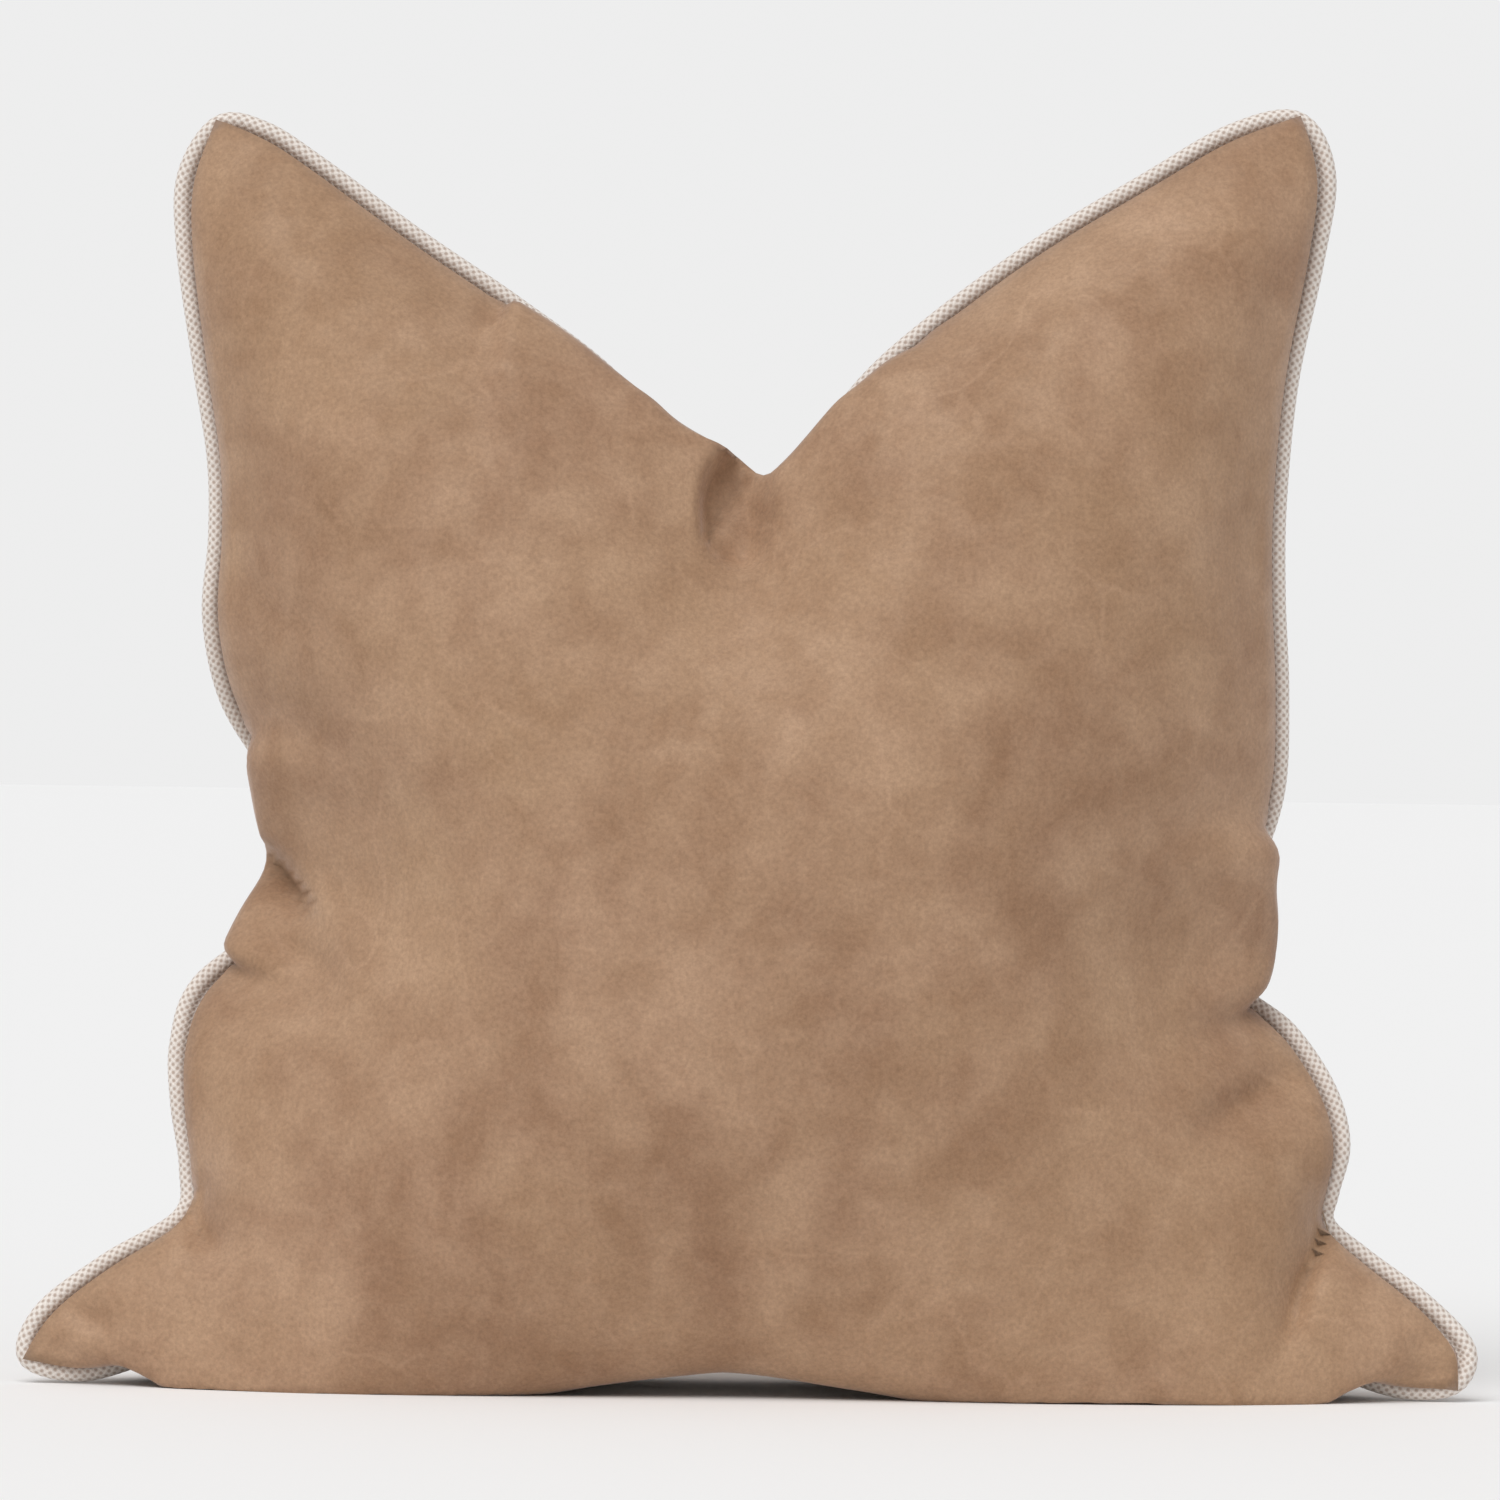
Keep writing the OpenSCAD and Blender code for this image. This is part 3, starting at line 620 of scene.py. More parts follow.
def welt_skin():
    """The woven strip round its cord, with the two lips that are caught in the seam."""
    s = sizes()
    count = welt_cells()
    line, inward = seam_line(count)
    total = len(line)
    turn = np.linspace(NECK, 2 * math.pi - NECK, AROUND)
    parity = (np.arange(total)[:, None] + np.arange(AROUND)[None]) % 2 * 2 - 1
    radius = s.welt / 2 + RELIEF * parity
    radius[:, [0, -1]] = s.welt / 2
    lip = s.welt / 2 + LIP * corner_share(np.arange(total), count)
    near = np.full(total, s.welt / 2 + LIP_START)
    offsets = np.zeros((total, AROUND + LIP_POINTS, 2))
    offsets[:, :AROUND, 0] = radius * np.cos(turn)
    offsets[:, :AROUND, 1] = radius * np.sin(turn)
    offsets[:, AROUND:, 0] = np.stack([near, lip, lip, near], 1)
    offsets[:, AROUND:, 1] = np.array([-1, -1, 1, 1]) * LIP_HALF
    made = sweep("welt", line, inward, offsets)
    rounded = made.modifiers.new("rounding", "SUBSURF")
    rounded.levels = rounded.render_levels = 1
    return made


CORD_RADIUS = 0.0025
CORD_AROUND = 12
CORD_STATIONS = 340
CORD_TWIST = 0.02
CORD_STRANDS = 3
CORD_DEPTH = 0.07


def cord_skin():
    """The twisted filler cord inside the welt."""
    line, inward = seam_line(CORD_STATIONS)
    step = np.linalg.norm(np.roll(line, -1, 0) - line, axis=1)
    run = np.concatenate([[0], np.cumsum(step)[:-1]])
    turns = round(step.sum() / CORD_TWIST)
    phase = 2 * math.pi * turns * run / step.sum()
    angle = 2 * math.pi * np.arange(CORD_AROUND) / CORD_AROUND
    lobe = np.abs(np.cos(CORD_STRANDS / 2 * (angle[None] - phase[:, None] * 2 / CORD_STRANDS)))
    radius = CORD_RADIUS * (1 - CORD_DEPTH + CORD_DEPTH * lobe)
    offsets = np.stack([radius * np.cos(angle), radius * np.sin(angle)], -1)
    return sweep("welt_filler", line, inward, offsets)


INNER_CELLS = 80
INNER_FADE = 6
TICKING_IN, TICKING_DEPTH, TICKING = 0.06, 0.005, 0.0004
FILLING_IN, FILLING_DEPTH = 0.075, 0.0075
CLUMP, CLUMP_SIZE = 0.0012, 0.018
INNER_FLOOR = 0.003


def resampled(skin, inset):
    """The skin inside a border that is inset, as a share of its width."""
    n = len(skin) - 1
    at = (inset + (1 - 2 * inset) * np.arange(n + 1) / n) * n
    for axis in (0, 1):
        skin = np.moveaxis(skin, axis, 0)
        low = np.clip(at.astype(int), 0, n - 1)
        part = (at - low)[:, None, None]
        skin = np.moveaxis(skin[low] * (1 - part) + skin[low + 1] * part, 0, axis)
    return skin


def faded(gap):
    """The values on a grid's rim, fading over its first cells."""
    n = len(gap) - 1
    fall = 1 - smooth(np.arange(n + 1) / INNER_FADE)
    a, b = fall[:, None, None], fall[None, :, None]
    c, d = a[::-1], b[:, ::-1]
    return (a * gap[:1] + c * gap[-1:] + b * gap[:, :1] + d * gap[:, -1:]
            - a * b * gap[0, 0] - a * d * gap[0, -1] - c * b * gap[-1, 0] - c * d * gap[-1, -1])


def inner_skins(inset, depth):
    """Front and back skins that lie inside the cover and meet at their rims."""
    skins = []
    for back in (False, True):
        skin = resampled(start_shape(back, INNER_CELLS), inset)
        skins.append(skin - outward(skin, back) * depth)
    middle = (skins[0] + skins[1]) / 2
    skins = [skin + faded(middle - skin) for skin in skins]
    for skin in skins:
        skin[..., 2] = np.maximum(skin[..., 2], INNER_FLOOR)
    return skins


def ticking_skin(name, places, back):
    """One half of the insert's cotton case."""
    bm = bmesh.new()
    bm.loops.layers.uv.new("UVMap")
    grid_mesh(bm, places)
    made = new_object(name, bm, back)
    thicken(made, TICKING)
    return made


def filling_skin():
    """The feathers and down, as one soft, slightly clumped body."""
    bm = bmesh.new()
    for back, places in enumerate(inner_skins(FILLING_IN, FILLING_DEPTH)):
        rim = faded(np.ones_like(places))[..., 0]
        out = outward(places, bool(back))
        clump = np.array([[noise.noise(Vector(p) / CLUMP_SIZE) for p in row] for row in places])
        grid_mesh(bm, places + out * (clump * CLUMP * (1 - rim))[..., None])
    bmesh.ops.remove_doubles(bm, verts=bm.verts, dist=RIM_MERGE)
    return new_object("filling", bm)


# Materials

COIL_COLOUR = (0.45, 0.32, 0.22)
THREAD_COLOUR = (0.5, 0.36, 0.25)
TAPE_COLOUR = (0.42, 0.29, 0.2)
LABEL_COLOUR = (0.85, 0.84, 0.8)
TICKING_COLOUR = (0.83, 0.81, 0.75)
CORD_COLOUR = (0.8, 0.78, 0.72)


def add(tree, kind, links=(), **settings):
    """A node with its settings, whose sockets take a source or a value."""
    made = tree.nodes.new(kind)
    for key, value in settings.items():
        setattr(made, key, value)
    for name, source in dict(links).items():
        if isinstance(source, bpy.types.NodeSocket):
            tree.links.new(source, made.inputs[name])
        else:
            made.inputs[name].default_value = source
    return made


def maths(tree, operation, a, b=0.0, clamp=False):
    return add(tree, "ShaderNodeMath", {0: a, 1: b}, operation=operation,
               use_clamp=clamp).outputs[0]


def ramp(tree, value, low, high, to_low=0.0, to_high=1.0):
    """value from low..high to to_low..to_high, held at the ends."""
    return add(tree, "ShaderNodeMapRange", {"Value": value, "From Min": low, "From Max": high,
                                            "To Min": to_low, "To Max": to_high}).outputs[0]


def blend(tree, factor, a, b, mode="MIX"):
    """A mix of two colours."""
    made = add(tree, "ShaderNodeMix", data_type="RGBA", blend_type=mode)
    for place, source in ((0, factor), (6, a), (7, b)):
        if isinstance(source, bpy.types.NodeSocket):
            tree.links.new(source, made.inputs[place])
        else:
            made.inputs[place].default_value = source
    return made.outputs[2]


def effect(name, inputs, outputs):
    """A node group for one effect: its tree, and what comes in and goes out. Built once."""
    tree = bpy.data.node_groups.new(name, "ShaderNodeTree")
    for title, kind, default in inputs:
        socket = tree.interface.new_socket(name=title, in_out="INPUT", socket_type=kind)
        if default is not None:
            socket.default_value = default
    for title in outputs:
        tree.interface.new_socket(name=title, in_out="OUTPUT", socket_type="NodeSocketFloat")
    return tree, tree.nodes.new("NodeGroupInput").outputs, tree.nodes.new("NodeGroupOutput").inputs


PLACE = ("Place", "NodeSocketVector", None)
FLOAT = "NodeSocketFloat"


def mottle_effect():
    """Soft blotches of tone, as on dyed leather."""
    tree, come, go = effect("Mottle", (PLACE, ("Size", FLOAT, 0.05)), ("Mask",))
    scale = maths(tree, "DIVIDE", 1.0, come["Size"])
    broad = add(tree, "ShaderNodeTexNoise", {"Vector": come["Place"], "Scale": scale, "Detail": 4.0,
                                             "Roughness": 0.55, "Distortion": 0.5}).outputs["Fac"]
    fine = add(tree, "ShaderNodeTexNoise", {"Vector": come["Place"],
                                            "Scale": maths(tree, "MULTIPLY", scale, 3.1),
                                            "Detail": 3.0, "Roughness": 0.6}).outputs["Fac"]
    both = maths(tree, "ADD", maths(tree, "MULTIPLY", broad, 0.7),
                 maths(tree, "MULTIPLY", fine, 0.3))
    tree.links.new(ramp(tree, both, 0.38, 0.62), go["Mask"])
    return tree


def nap_effect():
    """The fine grain of napped leather: short specks and shallow pores."""
    tree, come, go = effect("Nap", (PLACE, ("Size", FLOAT, 0.001)), ("Mask", "Height"))
    scale = maths(tree, "DIVIDE", 1.0, come["Size"])
    speck = add(tree, "ShaderNodeTexNoise", {"Vector": come["Place"], "Scale": scale, "Detail": 3.0,
                                             "Roughness": 0.7}).outputs["Fac"]
    pore = add(tree, "ShaderNodeTexVoronoi", {"Vector": come["Place"],
                                              "Scale": maths(tree, "MULTIPLY", scale, 0.8)},
               feature="SMOOTH_F1").outputs["Distance"]
    tree.links.new(ramp(tree, speck, 0.3, 0.7), go["Mask"])
    tree.links.new(maths(tree, "ADD", maths(tree, "MULTIPLY", speck, 0.6),
                         maths(tree, "MULTIPLY", pore, 0.5)), go["Height"])
    return tree


def vein_effect():
    """Faint wandering veins and healed scratches."""
    tree, come, go = effect("Veins", (PLACE, ("Size", FLOAT, 0.05)), ("Mask",))
    scale = maths(tree, "DIVIDE", 1.0, come["Size"])
    sway = add(tree, "ShaderNodeTexNoise", {"Vector": come["Place"],
                                            "Scale": maths(tree, "MULTIPLY", scale, 1.3),
                                            "Detail": 3.0}).outputs["Color"]
    off = add(tree, "ShaderNodeVectorMath", {0: sway, 1: (0.5, 0.5, 0.5)}, operation="SUBTRACT")
    drift = add(tree, "ShaderNodeVectorMath", {0: off.outputs[0], "Scale": come["Size"]},
                 operation="SCALE")
    place = add(tree, "ShaderNodeVectorMath", {0: come["Place"], 1: drift.outputs[0]})
    edge = add(tree, "ShaderNodeTexVoronoi", {"Vector": place.outputs[0], "Scale": scale},
               feature="DISTANCE_TO_EDGE").outputs["Distance"]
    rare = maths(tree, "MULTIPLY", scale, 0.9)
    seen = add(tree, "ShaderNodeTexNoise", {"Vector": come["Place"], "Scale": rare}).outputs["Fac"]
    line = ramp(tree, edge, 0.0, 0.035, 1.0, 0.0)
    tree.links.new(maths(tree, "MULTIPLY", line, ramp(tree, seen, 0.5, 0.62)), go["Mask"])
    return tree


def basket_effect():
    """A basket weave on the bias: cells of two yarns each, that cross over and under."""
    tree, come, go = effect("Basket weave", (("Map", "NodeSocketVector", None),
                                             ("Along", FLOAT, 1000.0), ("Round", FLOAT, 16.0)),
                            ("Mask", "Height", "Yarn"))
    part = add(tree, "ShaderNodeSeparateXYZ", {0: come["Map"]})
    i = maths(tree, "MULTIPLY", maths(tree, "MULTIPLY", part.outputs[0], come["Along"]), math.pi)
    j = maths(tree, "MULTIPLY", maths(tree, "MULTIPLY", part.outputs[1], come["Round"]), math.pi)
    ci, cj = maths(tree, "COSINE", i), maths(tree, "COSINE", j)
    high = maths(tree, "MULTIPLY", ci, cj)
    way = ramp(tree, ci, -0.1, 0.1, -1.0, 1.0)
    strand = maths(tree, "ADD", i, maths(tree, "MULTIPLY", way, j))
    yarn = maths(tree, "ABSOLUTE", maths(tree, "COSINE", strand))
    # Mask is low between the cells and Yarn is low between the strands: the welt paints shade in
    # both places
    tree.links.new(ramp(tree, high, -0.75, 0.15), go["Mask"])
    tree.links.new(yarn, go["Yarn"])
    tree.links.new(maths(tree, "ADD", maths(tree, "MULTIPLY", high, 0.6),
                         maths(tree, "MULTIPLY", yarn, 0.4)), go["Height"])
    return tree


def weave_effect():
    """A plain weave in the plane of the cloth."""
    tree, come, go = effect("Plain weave", (PLACE, ("Size", FLOAT, 0.0005)), ("Mask", "Height"))
    part = add(tree, "ShaderNodeSeparateXYZ", {0: come["Place"]})
    turns = maths(tree, "DIVIDE", math.pi, come["Size"])
    across = maths(tree, "SINE", maths(tree, "MULTIPLY", part.outputs[0], turns))
    up = maths(tree, "SINE", maths(tree, "MULTIPLY", part.outputs[2], turns))
    cross = maths(tree, "MULTIPLY", across, up)
    tree.links.new(ramp(tree, cross, -0.8, 0.8), go["Mask"])
    tree.links.new(cross, go["Height"])
    return tree


def twist_effect():
    """Fine strands that run slantwise along a thread or cord."""
    tree, come, go = effect("Twist", (PLACE, ("Size", FLOAT, 0.0005)), ("Mask", "Height"))
    part = add(tree, "ShaderNodeSeparateXYZ", {0: come["Place"]})
    slant = maths(tree, "ADD", maths(tree, "ADD", part.outputs[0], part.outputs[2]),
                  maths(tree, "MULTIPLY", part.outputs[1], 2.0))
    turns = maths(tree, "DIVIDE", math.pi, come["Size"])
    strand = maths(tree, "ABSOLUTE", maths(tree, "SINE", maths(tree, "MULTIPLY", slant, turns)))
    fluff = add(tree, "ShaderNodeTexNoise", {"Vector": come["Place"], "Scale": 4000.0,
                                             "Detail": 2.0}).outputs["Fac"]
    tree.links.new(maths(tree, "MULTIPLY", strand, ramp(tree, fluff, 0.2, 0.7, 0.7, 1.0)),
                   go["Mask"])
    tree.links.new(strand, go["Height"])
    return tree


def wear_effect():
    """Rubbed and tarnished patches with fine scuffs."""
    tree, come, go = effect("Wear", (PLACE, ("Size", FLOAT, 0.003)), ("Mask", "Scuff"))
    scale = maths(tree, "DIVIDE", 1.0, come["Size"])
    patch = add(tree, "ShaderNodeTexNoise", {"Vector": come["Place"], "Scale": scale, "Detail": 4.0,
                                             "Roughness": 0.6}).outputs["Fac"]
    scuff = add(tree, "ShaderNodeTexNoise", {"Vector": come["Place"],
                                             "Scale": maths(tree, "MULTIPLY", scale, 9.0),
                                             "Detail": 2.0, "Distortion": 1.5}).outputs["Fac"]
    tree.links.new(ramp(tree, patch, 0.42, 0.62), go["Mask"])
    tree.links.new(scuff, go["Scuff"])
    return tree


EFFECTS = {"Mottle": mottle_effect, "Nap": nap_effect, "Veins": vein_effect,
           "Basket weave": basket_effect, "Plain weave": weave_effect, "Twist": twist_effect,
           "Wear": wear_effect}


def use(tree, name, **values):
    """An effect's outputs, placed in a material with its own values."""
    made = tree.nodes.new("ShaderNodeGroup")
    made.node_tree = bpy.data.node_groups.get(name) or EFFECTS[name]()
    for title, source in values.items():
        if isinstance(source, bpy.types.NodeSocket):
            tree.links.new(source, made.inputs[title])
        else:
            made.inputs[title].default_value = source
    return made.outputs


def finish_of(name, colour, roughness, height=None, depth=0.0002, strength=0.5, **sockets):
    """Ends a material: colour and roughness are sources, the named sockets plain values."""
    tree = bpy.data.materials[name].node_tree
    shader = tree.nodes["Principled BSDF"]
    tree.links.new(colour, shader.inputs["Base Color"])
    tree.links.new(roughness, shader.inputs["Roughness"])
    for title, value in sockets.items():
        shader.inputs[title.replace("_", " ")].default_value = value
    if height is not None:
        bump = add(tree, "ShaderNodeBump", {"Height": height, "Distance": depth,
                                            "Strength": strength})
        tree.links.new(bump.outputs[0], shader.inputs["Normal"])
    return bpy.data.materials[name]


def new_material(name):
    """A material's tree, and the place of each point on the piece."""
    material = bpy.data.materials.new(name)
    material.use_nodes = True
    tree = material.node_tree
    return tree, add(tree, "ShaderNodeTexCoord").outputs


def rgba(colour, gain=1.0):
    return (*(gain * c for c in colour), 1.0)


def leather_finish():
    name = "Tan napped leather"
    tree, at = new_material(name)
    place = at["Object"]
    hue = colours()
    broad = use(tree, "Mottle", Place=place, Size=0.075)["Mask"]
    small = use(tree, "Mottle", Place=place, Size=0.024)["Mask"]
    nap = use(tree, "Nap", Place=place, Size=0.0016)
    vein = use(tree, "Veins", Place=place, Size=0.06)["Mask"]
    tone = maths(tree, "ADD", maths(tree, "MULTIPLY", broad, 0.6),
                 maths(tree, "MULTIPLY", small, 0.4))
    colour = blend(tree, tone, rgba(hue.leather_dark), rgba(hue.leather_light))
    warm = use(tree, "Mottle", Place=place, Size=0.13)["Mask"]
    colour = blend(tree, maths(tree, "MULTIPLY", warm, 0.35), colour, rgba(hue.leather_warm))
    colour = blend(tree, maths(tree, "MULTIPLY", vein, 0.3), colour, rgba(hue.leather_light, 1.12))
    grain = blend(tree, ramp(tree, nap["Mask"], 0.0, 1.0), (0.84, 0.83, 0.82, 1),
                  (1.13, 1.13, 1.14, 1))
    colour = blend(tree, 1.0, colour, grain, "MULTIPLY")
    rough = ramp(tree, small, 0.0, 1.0, 0.72, 0.6)
    return finish_of(name, colour, rough, nap["Height"], 0.0004, 0.45, Sheen_Weight=0.4,
                     Sheen_Roughness=0.4, Sheen_Tint=(1.0, 0.86, 0.82, 1),
                     Specular_IOR_Level=0.35)


def welt_finish():
    name = "Basket-weave welt"
    tree, at = new_material(name)
    hue = colours()
    weave = use(tree, "Basket weave", Map=at["UV"], Along=4.0 * welt_cells(),
                Round=float(AROUND + LIP_POINTS))
    soil = use(tree, "Mottle", Place=at["Object"], Size=0.012)["Mask"]
    fibre = use(tree, "Nap", Place=at["Object"], Size=0.0004)["Mask"]
    yarn = blend(tree, maths(tree, "MULTIPLY", soil, 0.35), rgba(hue.welt_light),
                 rgba(hue.welt_light, 0.82))
    yarn = blend(tree, maths(tree, "MULTIPLY", fibre, 0.2), yarn, rgba(hue.welt_dark))
    # Painted shade: the yarn is darkened between its strands, and the weave's mask darkens it
    # between the cells, where the weave lies low
    yarn = blend(tree, ramp(tree, weave["Yarn"], 0.0, 0.6, 0.35, 0.0), yarn, rgba(hue.welt_dark))
    colour = blend(tree, weave["Mask"], rgba(hue.welt_dark), yarn)
    return finish_of(name, colour, ramp(tree, fibre, 0.0, 1.0, 0.75, 0.9), weave["Height"],
                     0.0003, 0.6, Sheen_Weight=0.15, Sheen_Roughness=0.5)


def cloth_finish(name, colour, size, effect_name="Plain weave", dark=0.8, rough=(0.7, 0.9),
                 sheen=0.15, depth=0.0001):
    """A woven or twisted textile in one colour."""
    tree, at = new_material(name)
    cloth = use(tree, effect_name, Place=at["Object"], Size=size)
    soft = use(tree, "Mottle", Place=at["Object"], Size=0.02)["Mask"]
    # Painted shade: the colour is darkened by the factor dark where the weave or twist lies low,
    # between the threads and strands; the twist's mask also holds random fibre tone
    tone = blend(tree, cloth["Mask"], rgba(colour, dark), rgba(colour))
    tone = blend(tree, maths(tree, "MULTIPLY", soft, 0.25), tone, rgba(colour, 0.88))
    return finish_of(name, tone, ramp(tree, cloth["Mask"], 0.0, 1.0, rough[1], rough[0]),
                     cloth["Height"], depth, 0.5, Sheen_Weight=sheen)


def filling_finish():
    name = "Feather and down"
    tree, at = new_material(name)
    down = use(tree, "Nap", Place=at["Object"], Size=0.004)
    tuft = use(tree, "Mottle", Place=at["Object"], Size=0.015)["Mask"]
    tone = blend(tree, down["Mask"], (0.78, 0.76, 0.72, 1), (0.93, 0.92, 0.9, 1))
    tone = blend(tree, maths(tree, "MULTIPLY", tuft, 0.3), tone, (0.82, 0.79, 0.73, 1))
    return finish_of(name, tone, ramp(tree, tuft, 0.0, 1.0, 0.85, 0.95), down["Height"], 0.002, 0.6,
                     Sheen_Weight=0.3)


def coil_finish():
    name = "Moulded zip coil"
    tree, at = new_material(name)
    wear = use(tree, "Wear", Place=at["Object"], Size=0.004)
    tone = blend(tree, wear["Mask"], rgba(COIL_COLOUR, 0.85), rgba(COIL_COLOUR))
    return finish_of(name, tone, ramp(tree, wear["Scuff"], 0.3, 0.7, 0.35, 0.5), wear["Scuff"],
                     0.00005, 0.3)


def brass_finish():
    name = "Antique brass"
    tree, at = new_material(name)
    wear = use(tree, "Wear", Place=at["Object"], Size=0.003)
    tone = blend(tree, wear["Mask"], (0.33, 0.23, 0.12, 1), (0.62, 0.47, 0.26, 1))
    return finish_of(name, tone, ramp(tree, wear["Scuff"], 0.3, 0.7, 0.28, 0.48), wear["Scuff"],
                     0.00004, 0.4, Metallic=1.0)


# Placing

FILL = 0.9


def dress(piece, material):
    """Gives a piece, or a carried-over CAD node, its only material."""
    if not piece.material_slots:
        piece.data.materials.append(material)
    for held in piece.material_slots:
        held.material = material


def settle(piece, material, slot, *nodes, fill=None):
    """Finishes a new piece: its material, body and the CAD nodes that it stands for; slot is not
    used.
    """
    dress(piece, material)
    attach(piece, "pillow")
    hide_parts(*nodes)


def dress_nodes(material, *nodes):
    for name in nodes:
        dress(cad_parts[name], material)


class PILLOW_OT_cover(bpy.types.Operator):
    """Makes the leather front and back of the cover"""
    bl_idname = "pillow.cover"
    bl_label = "Leather cover"

    def execute(self, context):
        leather = leather_finish()
        for name, node_name, back in (("cover_front", "front_panel", False),
                                      ("cover_back", "back_panel", True)):
            settle(panel(name, back), leather, "leather", node_name, fill=FILL)
        return {"FINISHED"}


class PILLOW_OT_welt(bpy.types.Operator):
    """Makes the woven welt and the cord inside it"""
    bl_idname = "pillow.welt"
    bl_label = "Welt and cord"

    def execute(self, context):
        settle(welt_skin(), welt_finish(), "welt_fabric", "welt_cover")
        cord = cloth_finish("Twisted cotton cord", CORD_COLOUR, 0.0007, "Twist", 0.75)
        settle(cord_skin(), cord, "cotton_cord", "welt_cord")
        return {"FINISHED"}


class PILLOW_OT_insert(bpy.types.Operator):
    """Makes the insert: its cotton case and its feather and down filling"""
    bl_idname = "pillow.insert"
    bl_label = "Insert"

    def execute(self, context):
        ticking = cloth_finish("Cotton ticking", TICKING_COLOUR, 0.0005, depth=0.00006)
        skins = inner_skins(TICKING_IN, TICKING_DEPTH)
        for name, node_name, back in (("ticking_front", "insert_front", False),
                                      ("ticking_back", "insert_back", True)):
            settle(ticking_skin(name, skins[back], back), ticking, "ticking", node_name, fill=FILL)
        settle(filling_skin(), filling_finish(), "filling", "insert_fill", fill=FILL)
        return {"FINISHED"}


class PILLOW_OT_threads(bpy.types.Operator):
    """Finishes the stitches of the seam and of the zip"""
    bl_idname = "pillow.threads"
    bl_label = "Stitches"

    def execute(self, context):
        thread = cloth_finish("Spun thread", THREAD_COLOUR, 0.00025, "Twist", 0.7, (0.45, 0.6))
        dress_nodes(thread, "seam_thread", "zip_thread")
        return {"FINISHED"}


class PILLOW_OT_zip(bpy.types.Operator):
    """Finishes the zip: tapes, coils, stops, slider and pull"""
    bl_idname = "pillow.zip"
    bl_label = "Zip"

    def execute(self, context):
        dress_nodes(cloth_finish("Woven zip tape", TAPE_COLOUR, 0.0004, depth=0.00006),
                    "zip_tape_front", "zip_tape_back")
        dress_nodes(coil_finish(), "zip_coil_front", "zip_coil_back", "zip_top_stops",
                    "zip_bottom_stop")
        dress_nodes(brass_finish(), "zip_slider", "zip_pull")
        return {"FINISHED"}


class PILLOW_OT_label(bpy.types.Operator):
    """Finishes the blank care label"""
    bl_idname = "pillow.label"
    bl_label = "Care label"

    def execute(self, context):
        dress_nodes(cloth_finish("Satin ribbon", LABEL_COLOUR, 0.0003, dark=0.9, rough=(0.3, 0.45),
                                 sheen=0.3, depth=0.00004), "care_label")
        return {"FINISHED"}


# Stage

FLOOR_SIZE = 40.0
SEEN_WIDTH = 0.560
CAMERA_FAR = 3.0
CAMERA_HEIGHT = 0.239
CAMERA_ASIDE = -0.002
CAMERA_ROLL = math.radians(0.8)
FLOOR_COLOUR = (0.93, 0.93, 0.93, 1)
SKY_GLOW, SKY_SEEN = 0.5, 0.853
SUN_POWER = 1.75
SUN_ANGLE = math.radians(45)
SUN_FROM = (-0.28, -0.66, 1.05)


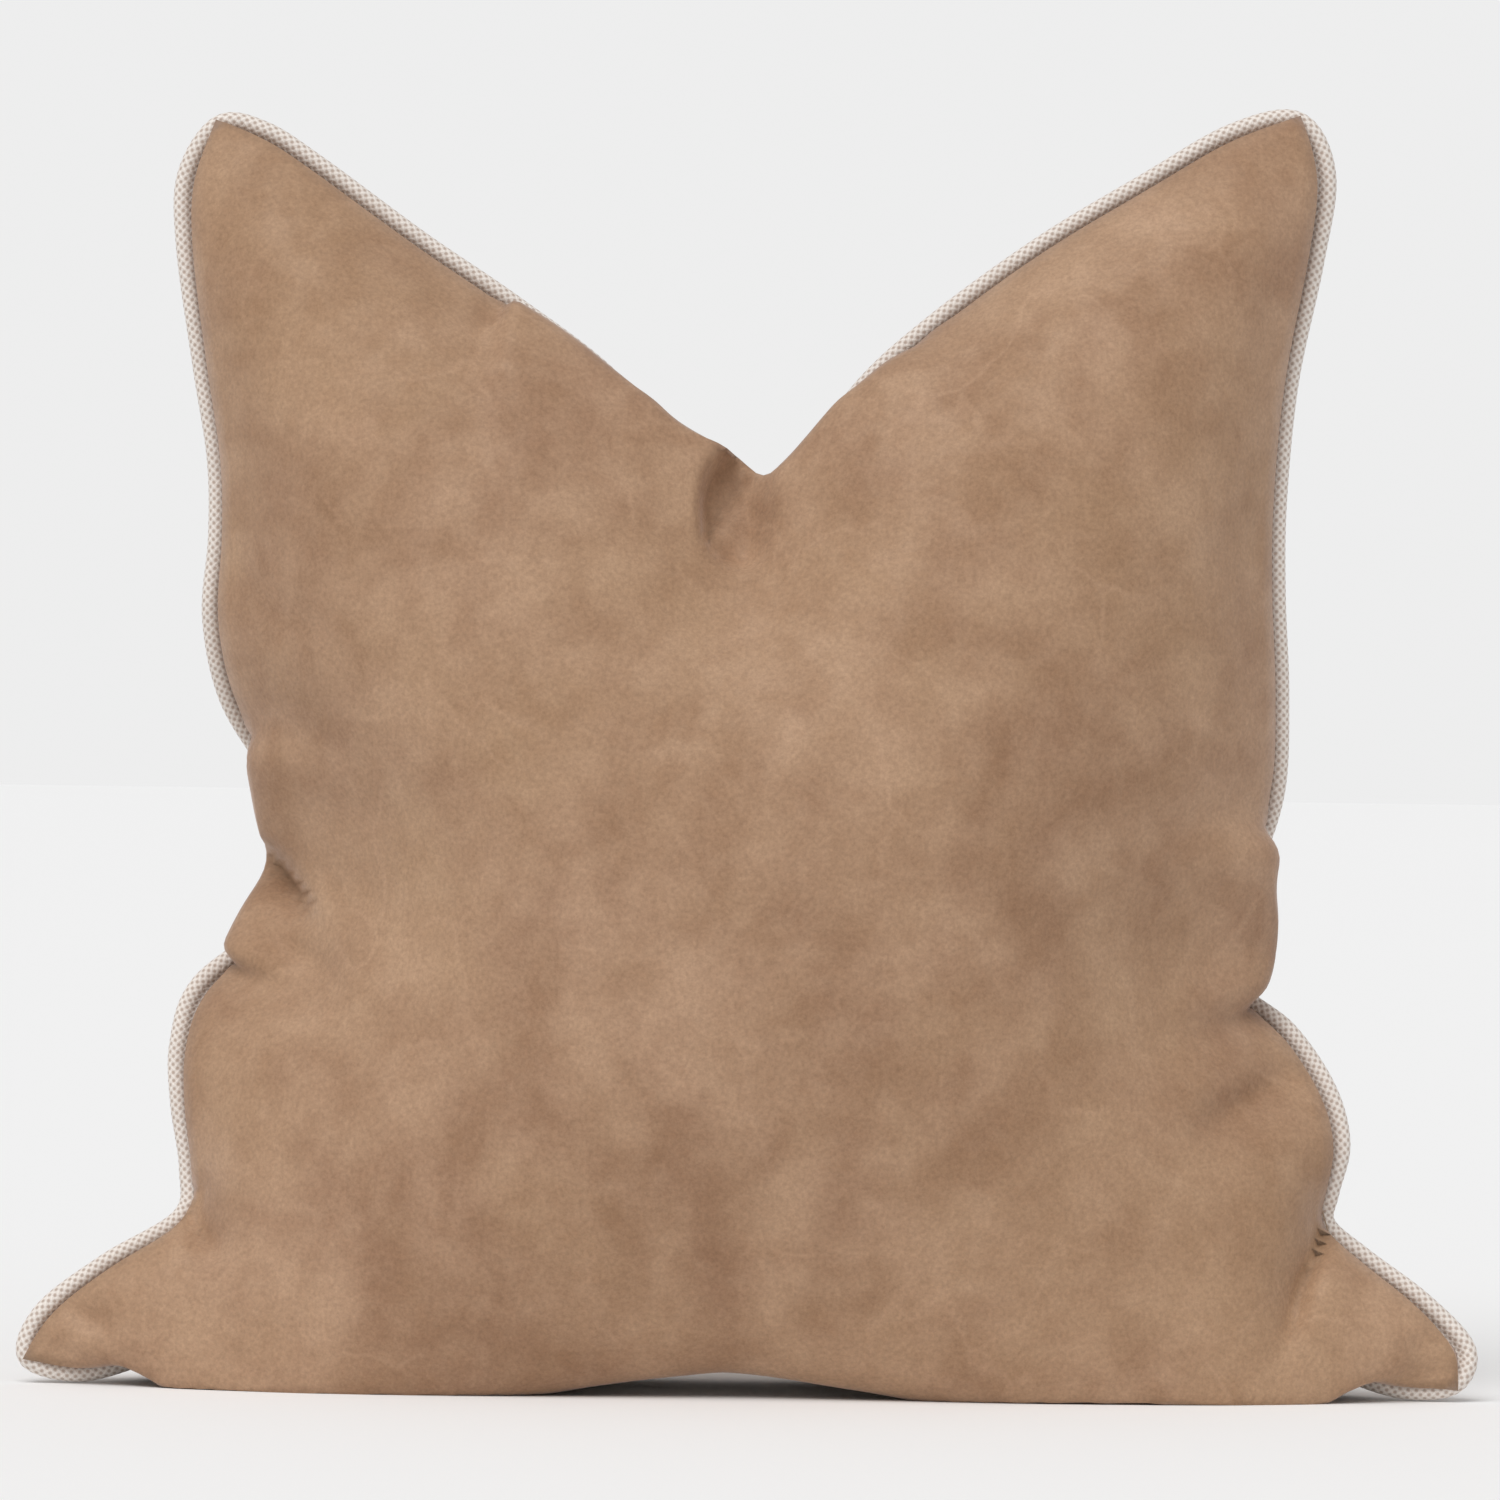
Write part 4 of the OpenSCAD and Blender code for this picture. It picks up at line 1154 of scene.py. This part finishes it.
class PILLOW_OT_stage(bpy.types.Operator):
    """Makes the floor, the sky, the sun and the camera"""
    bl_idname = "pillow.stage"
    bl_label = "Stage"

    def execute(self, context):
        scene = context.scene
        scene.view_settings.view_transform = "Standard"
        bm = bmesh.new()
        bmesh.ops.create_grid(bm, x_segments=1, y_segments=1, size=FLOOR_SIZE)
        floor = new_object("floor", bm)
        paper = bpy.data.materials.new("Pale floor")
        paper.use_nodes = True
        shader = paper.node_tree.nodes["Principled BSDF"]
        shader.inputs["Base Color"].default_value = FLOOR_COLOUR
        shader.inputs["Roughness"].default_value = 0.9
        shader.inputs["Specular IOR Level"].default_value = 0.1
        dress(floor, paper)
        world = bpy.data.worlds.new("Soft studio")
        world.use_nodes = True
        scene.world = world
        tree = world.node_tree
        seen = add(tree, "ShaderNodeLightPath").outputs["Is Camera Ray"]
        tree.links.new(ramp(tree, seen, 0.0, 1.0, SKY_GLOW, SKY_SEEN),
                       tree.nodes["Background"].inputs["Strength"])
        tree.nodes["Background"].inputs["Color"].default_value = (1, 1, 1, 1)
        sun = bpy.data.lights.new("Overhead", "SUN")
        sun.energy, sun.angle = SUN_POWER, SUN_ANGLE
        lamp = bpy.data.objects.new("Overhead", sun)
        scene.collection.objects.link(lamp)
        lamp.rotation_euler = Vector(SUN_FROM).to_track_quat("Z", "Y").to_euler()
        lens = bpy.data.cameras.new("camera")
        camera = bpy.data.objects.new("camera", lens)
        scene.collection.objects.link(camera)
        camera.location = (CAMERA_ASIDE, -CAMERA_FAR, CAMERA_HEIGHT)
        camera.rotation_euler = (math.pi / 2, 0, 0)
        camera.rotation_euler.rotate_axis("Z", CAMERA_ROLL)
        lens.lens = lens.sensor_width * CAMERA_FAR / SEEN_WIDTH
        scene.camera = camera
        return {"FINISHED"}


class PILLOW_PT_sidebar(bpy.types.Panel):
    """Lists the steps that build the pillow"""
    bl_idname = "PILLOW_PT_sidebar"
    bl_label = "Throw pillow"
    bl_space_type = "VIEW_3D"
    bl_region_type = "UI"
    bl_category = "Pillow"

    def draw(self, context):
        for group in (context.scene.pillow_sizes, context.scene.pillow_colours):
            box = self.layout.box()
            for name in group.__annotations__:
                box.prop(group, name)
        for step in STEPS:
            self.layout.operator(step.bl_idname)


STEPS = (PILLOW_OT_cover, PILLOW_OT_welt, PILLOW_OT_insert, PILLOW_OT_threads, PILLOW_OT_zip,
         PILLOW_OT_label, PILLOW_OT_stage)
CLASSES = (PillowSizes, PillowColours, *STEPS, PILLOW_PT_sidebar)


def register():
    for each in CLASSES:
        bpy.utils.register_class(each)
    bpy.types.Scene.pillow_sizes = PointerProperty(type=PillowSizes)
    bpy.types.Scene.pillow_colours = PointerProperty(type=PillowColours)


def unregister():
    del bpy.types.Scene.pillow_colours
    del bpy.types.Scene.pillow_sizes
    for each in reversed(CLASSES):
        bpy.utils.unregister_class(each)


def main():
    register()
    bpy.ops.pillow.cover()
    bpy.ops.pillow.welt()
    bpy.ops.pillow.insert()
    bpy.ops.pillow.threads()
    bpy.ops.pillow.zip()
    bpy.ops.pillow.label()
    bpy.ops.pillow.stage()


if __name__ == "__main__":
    main()
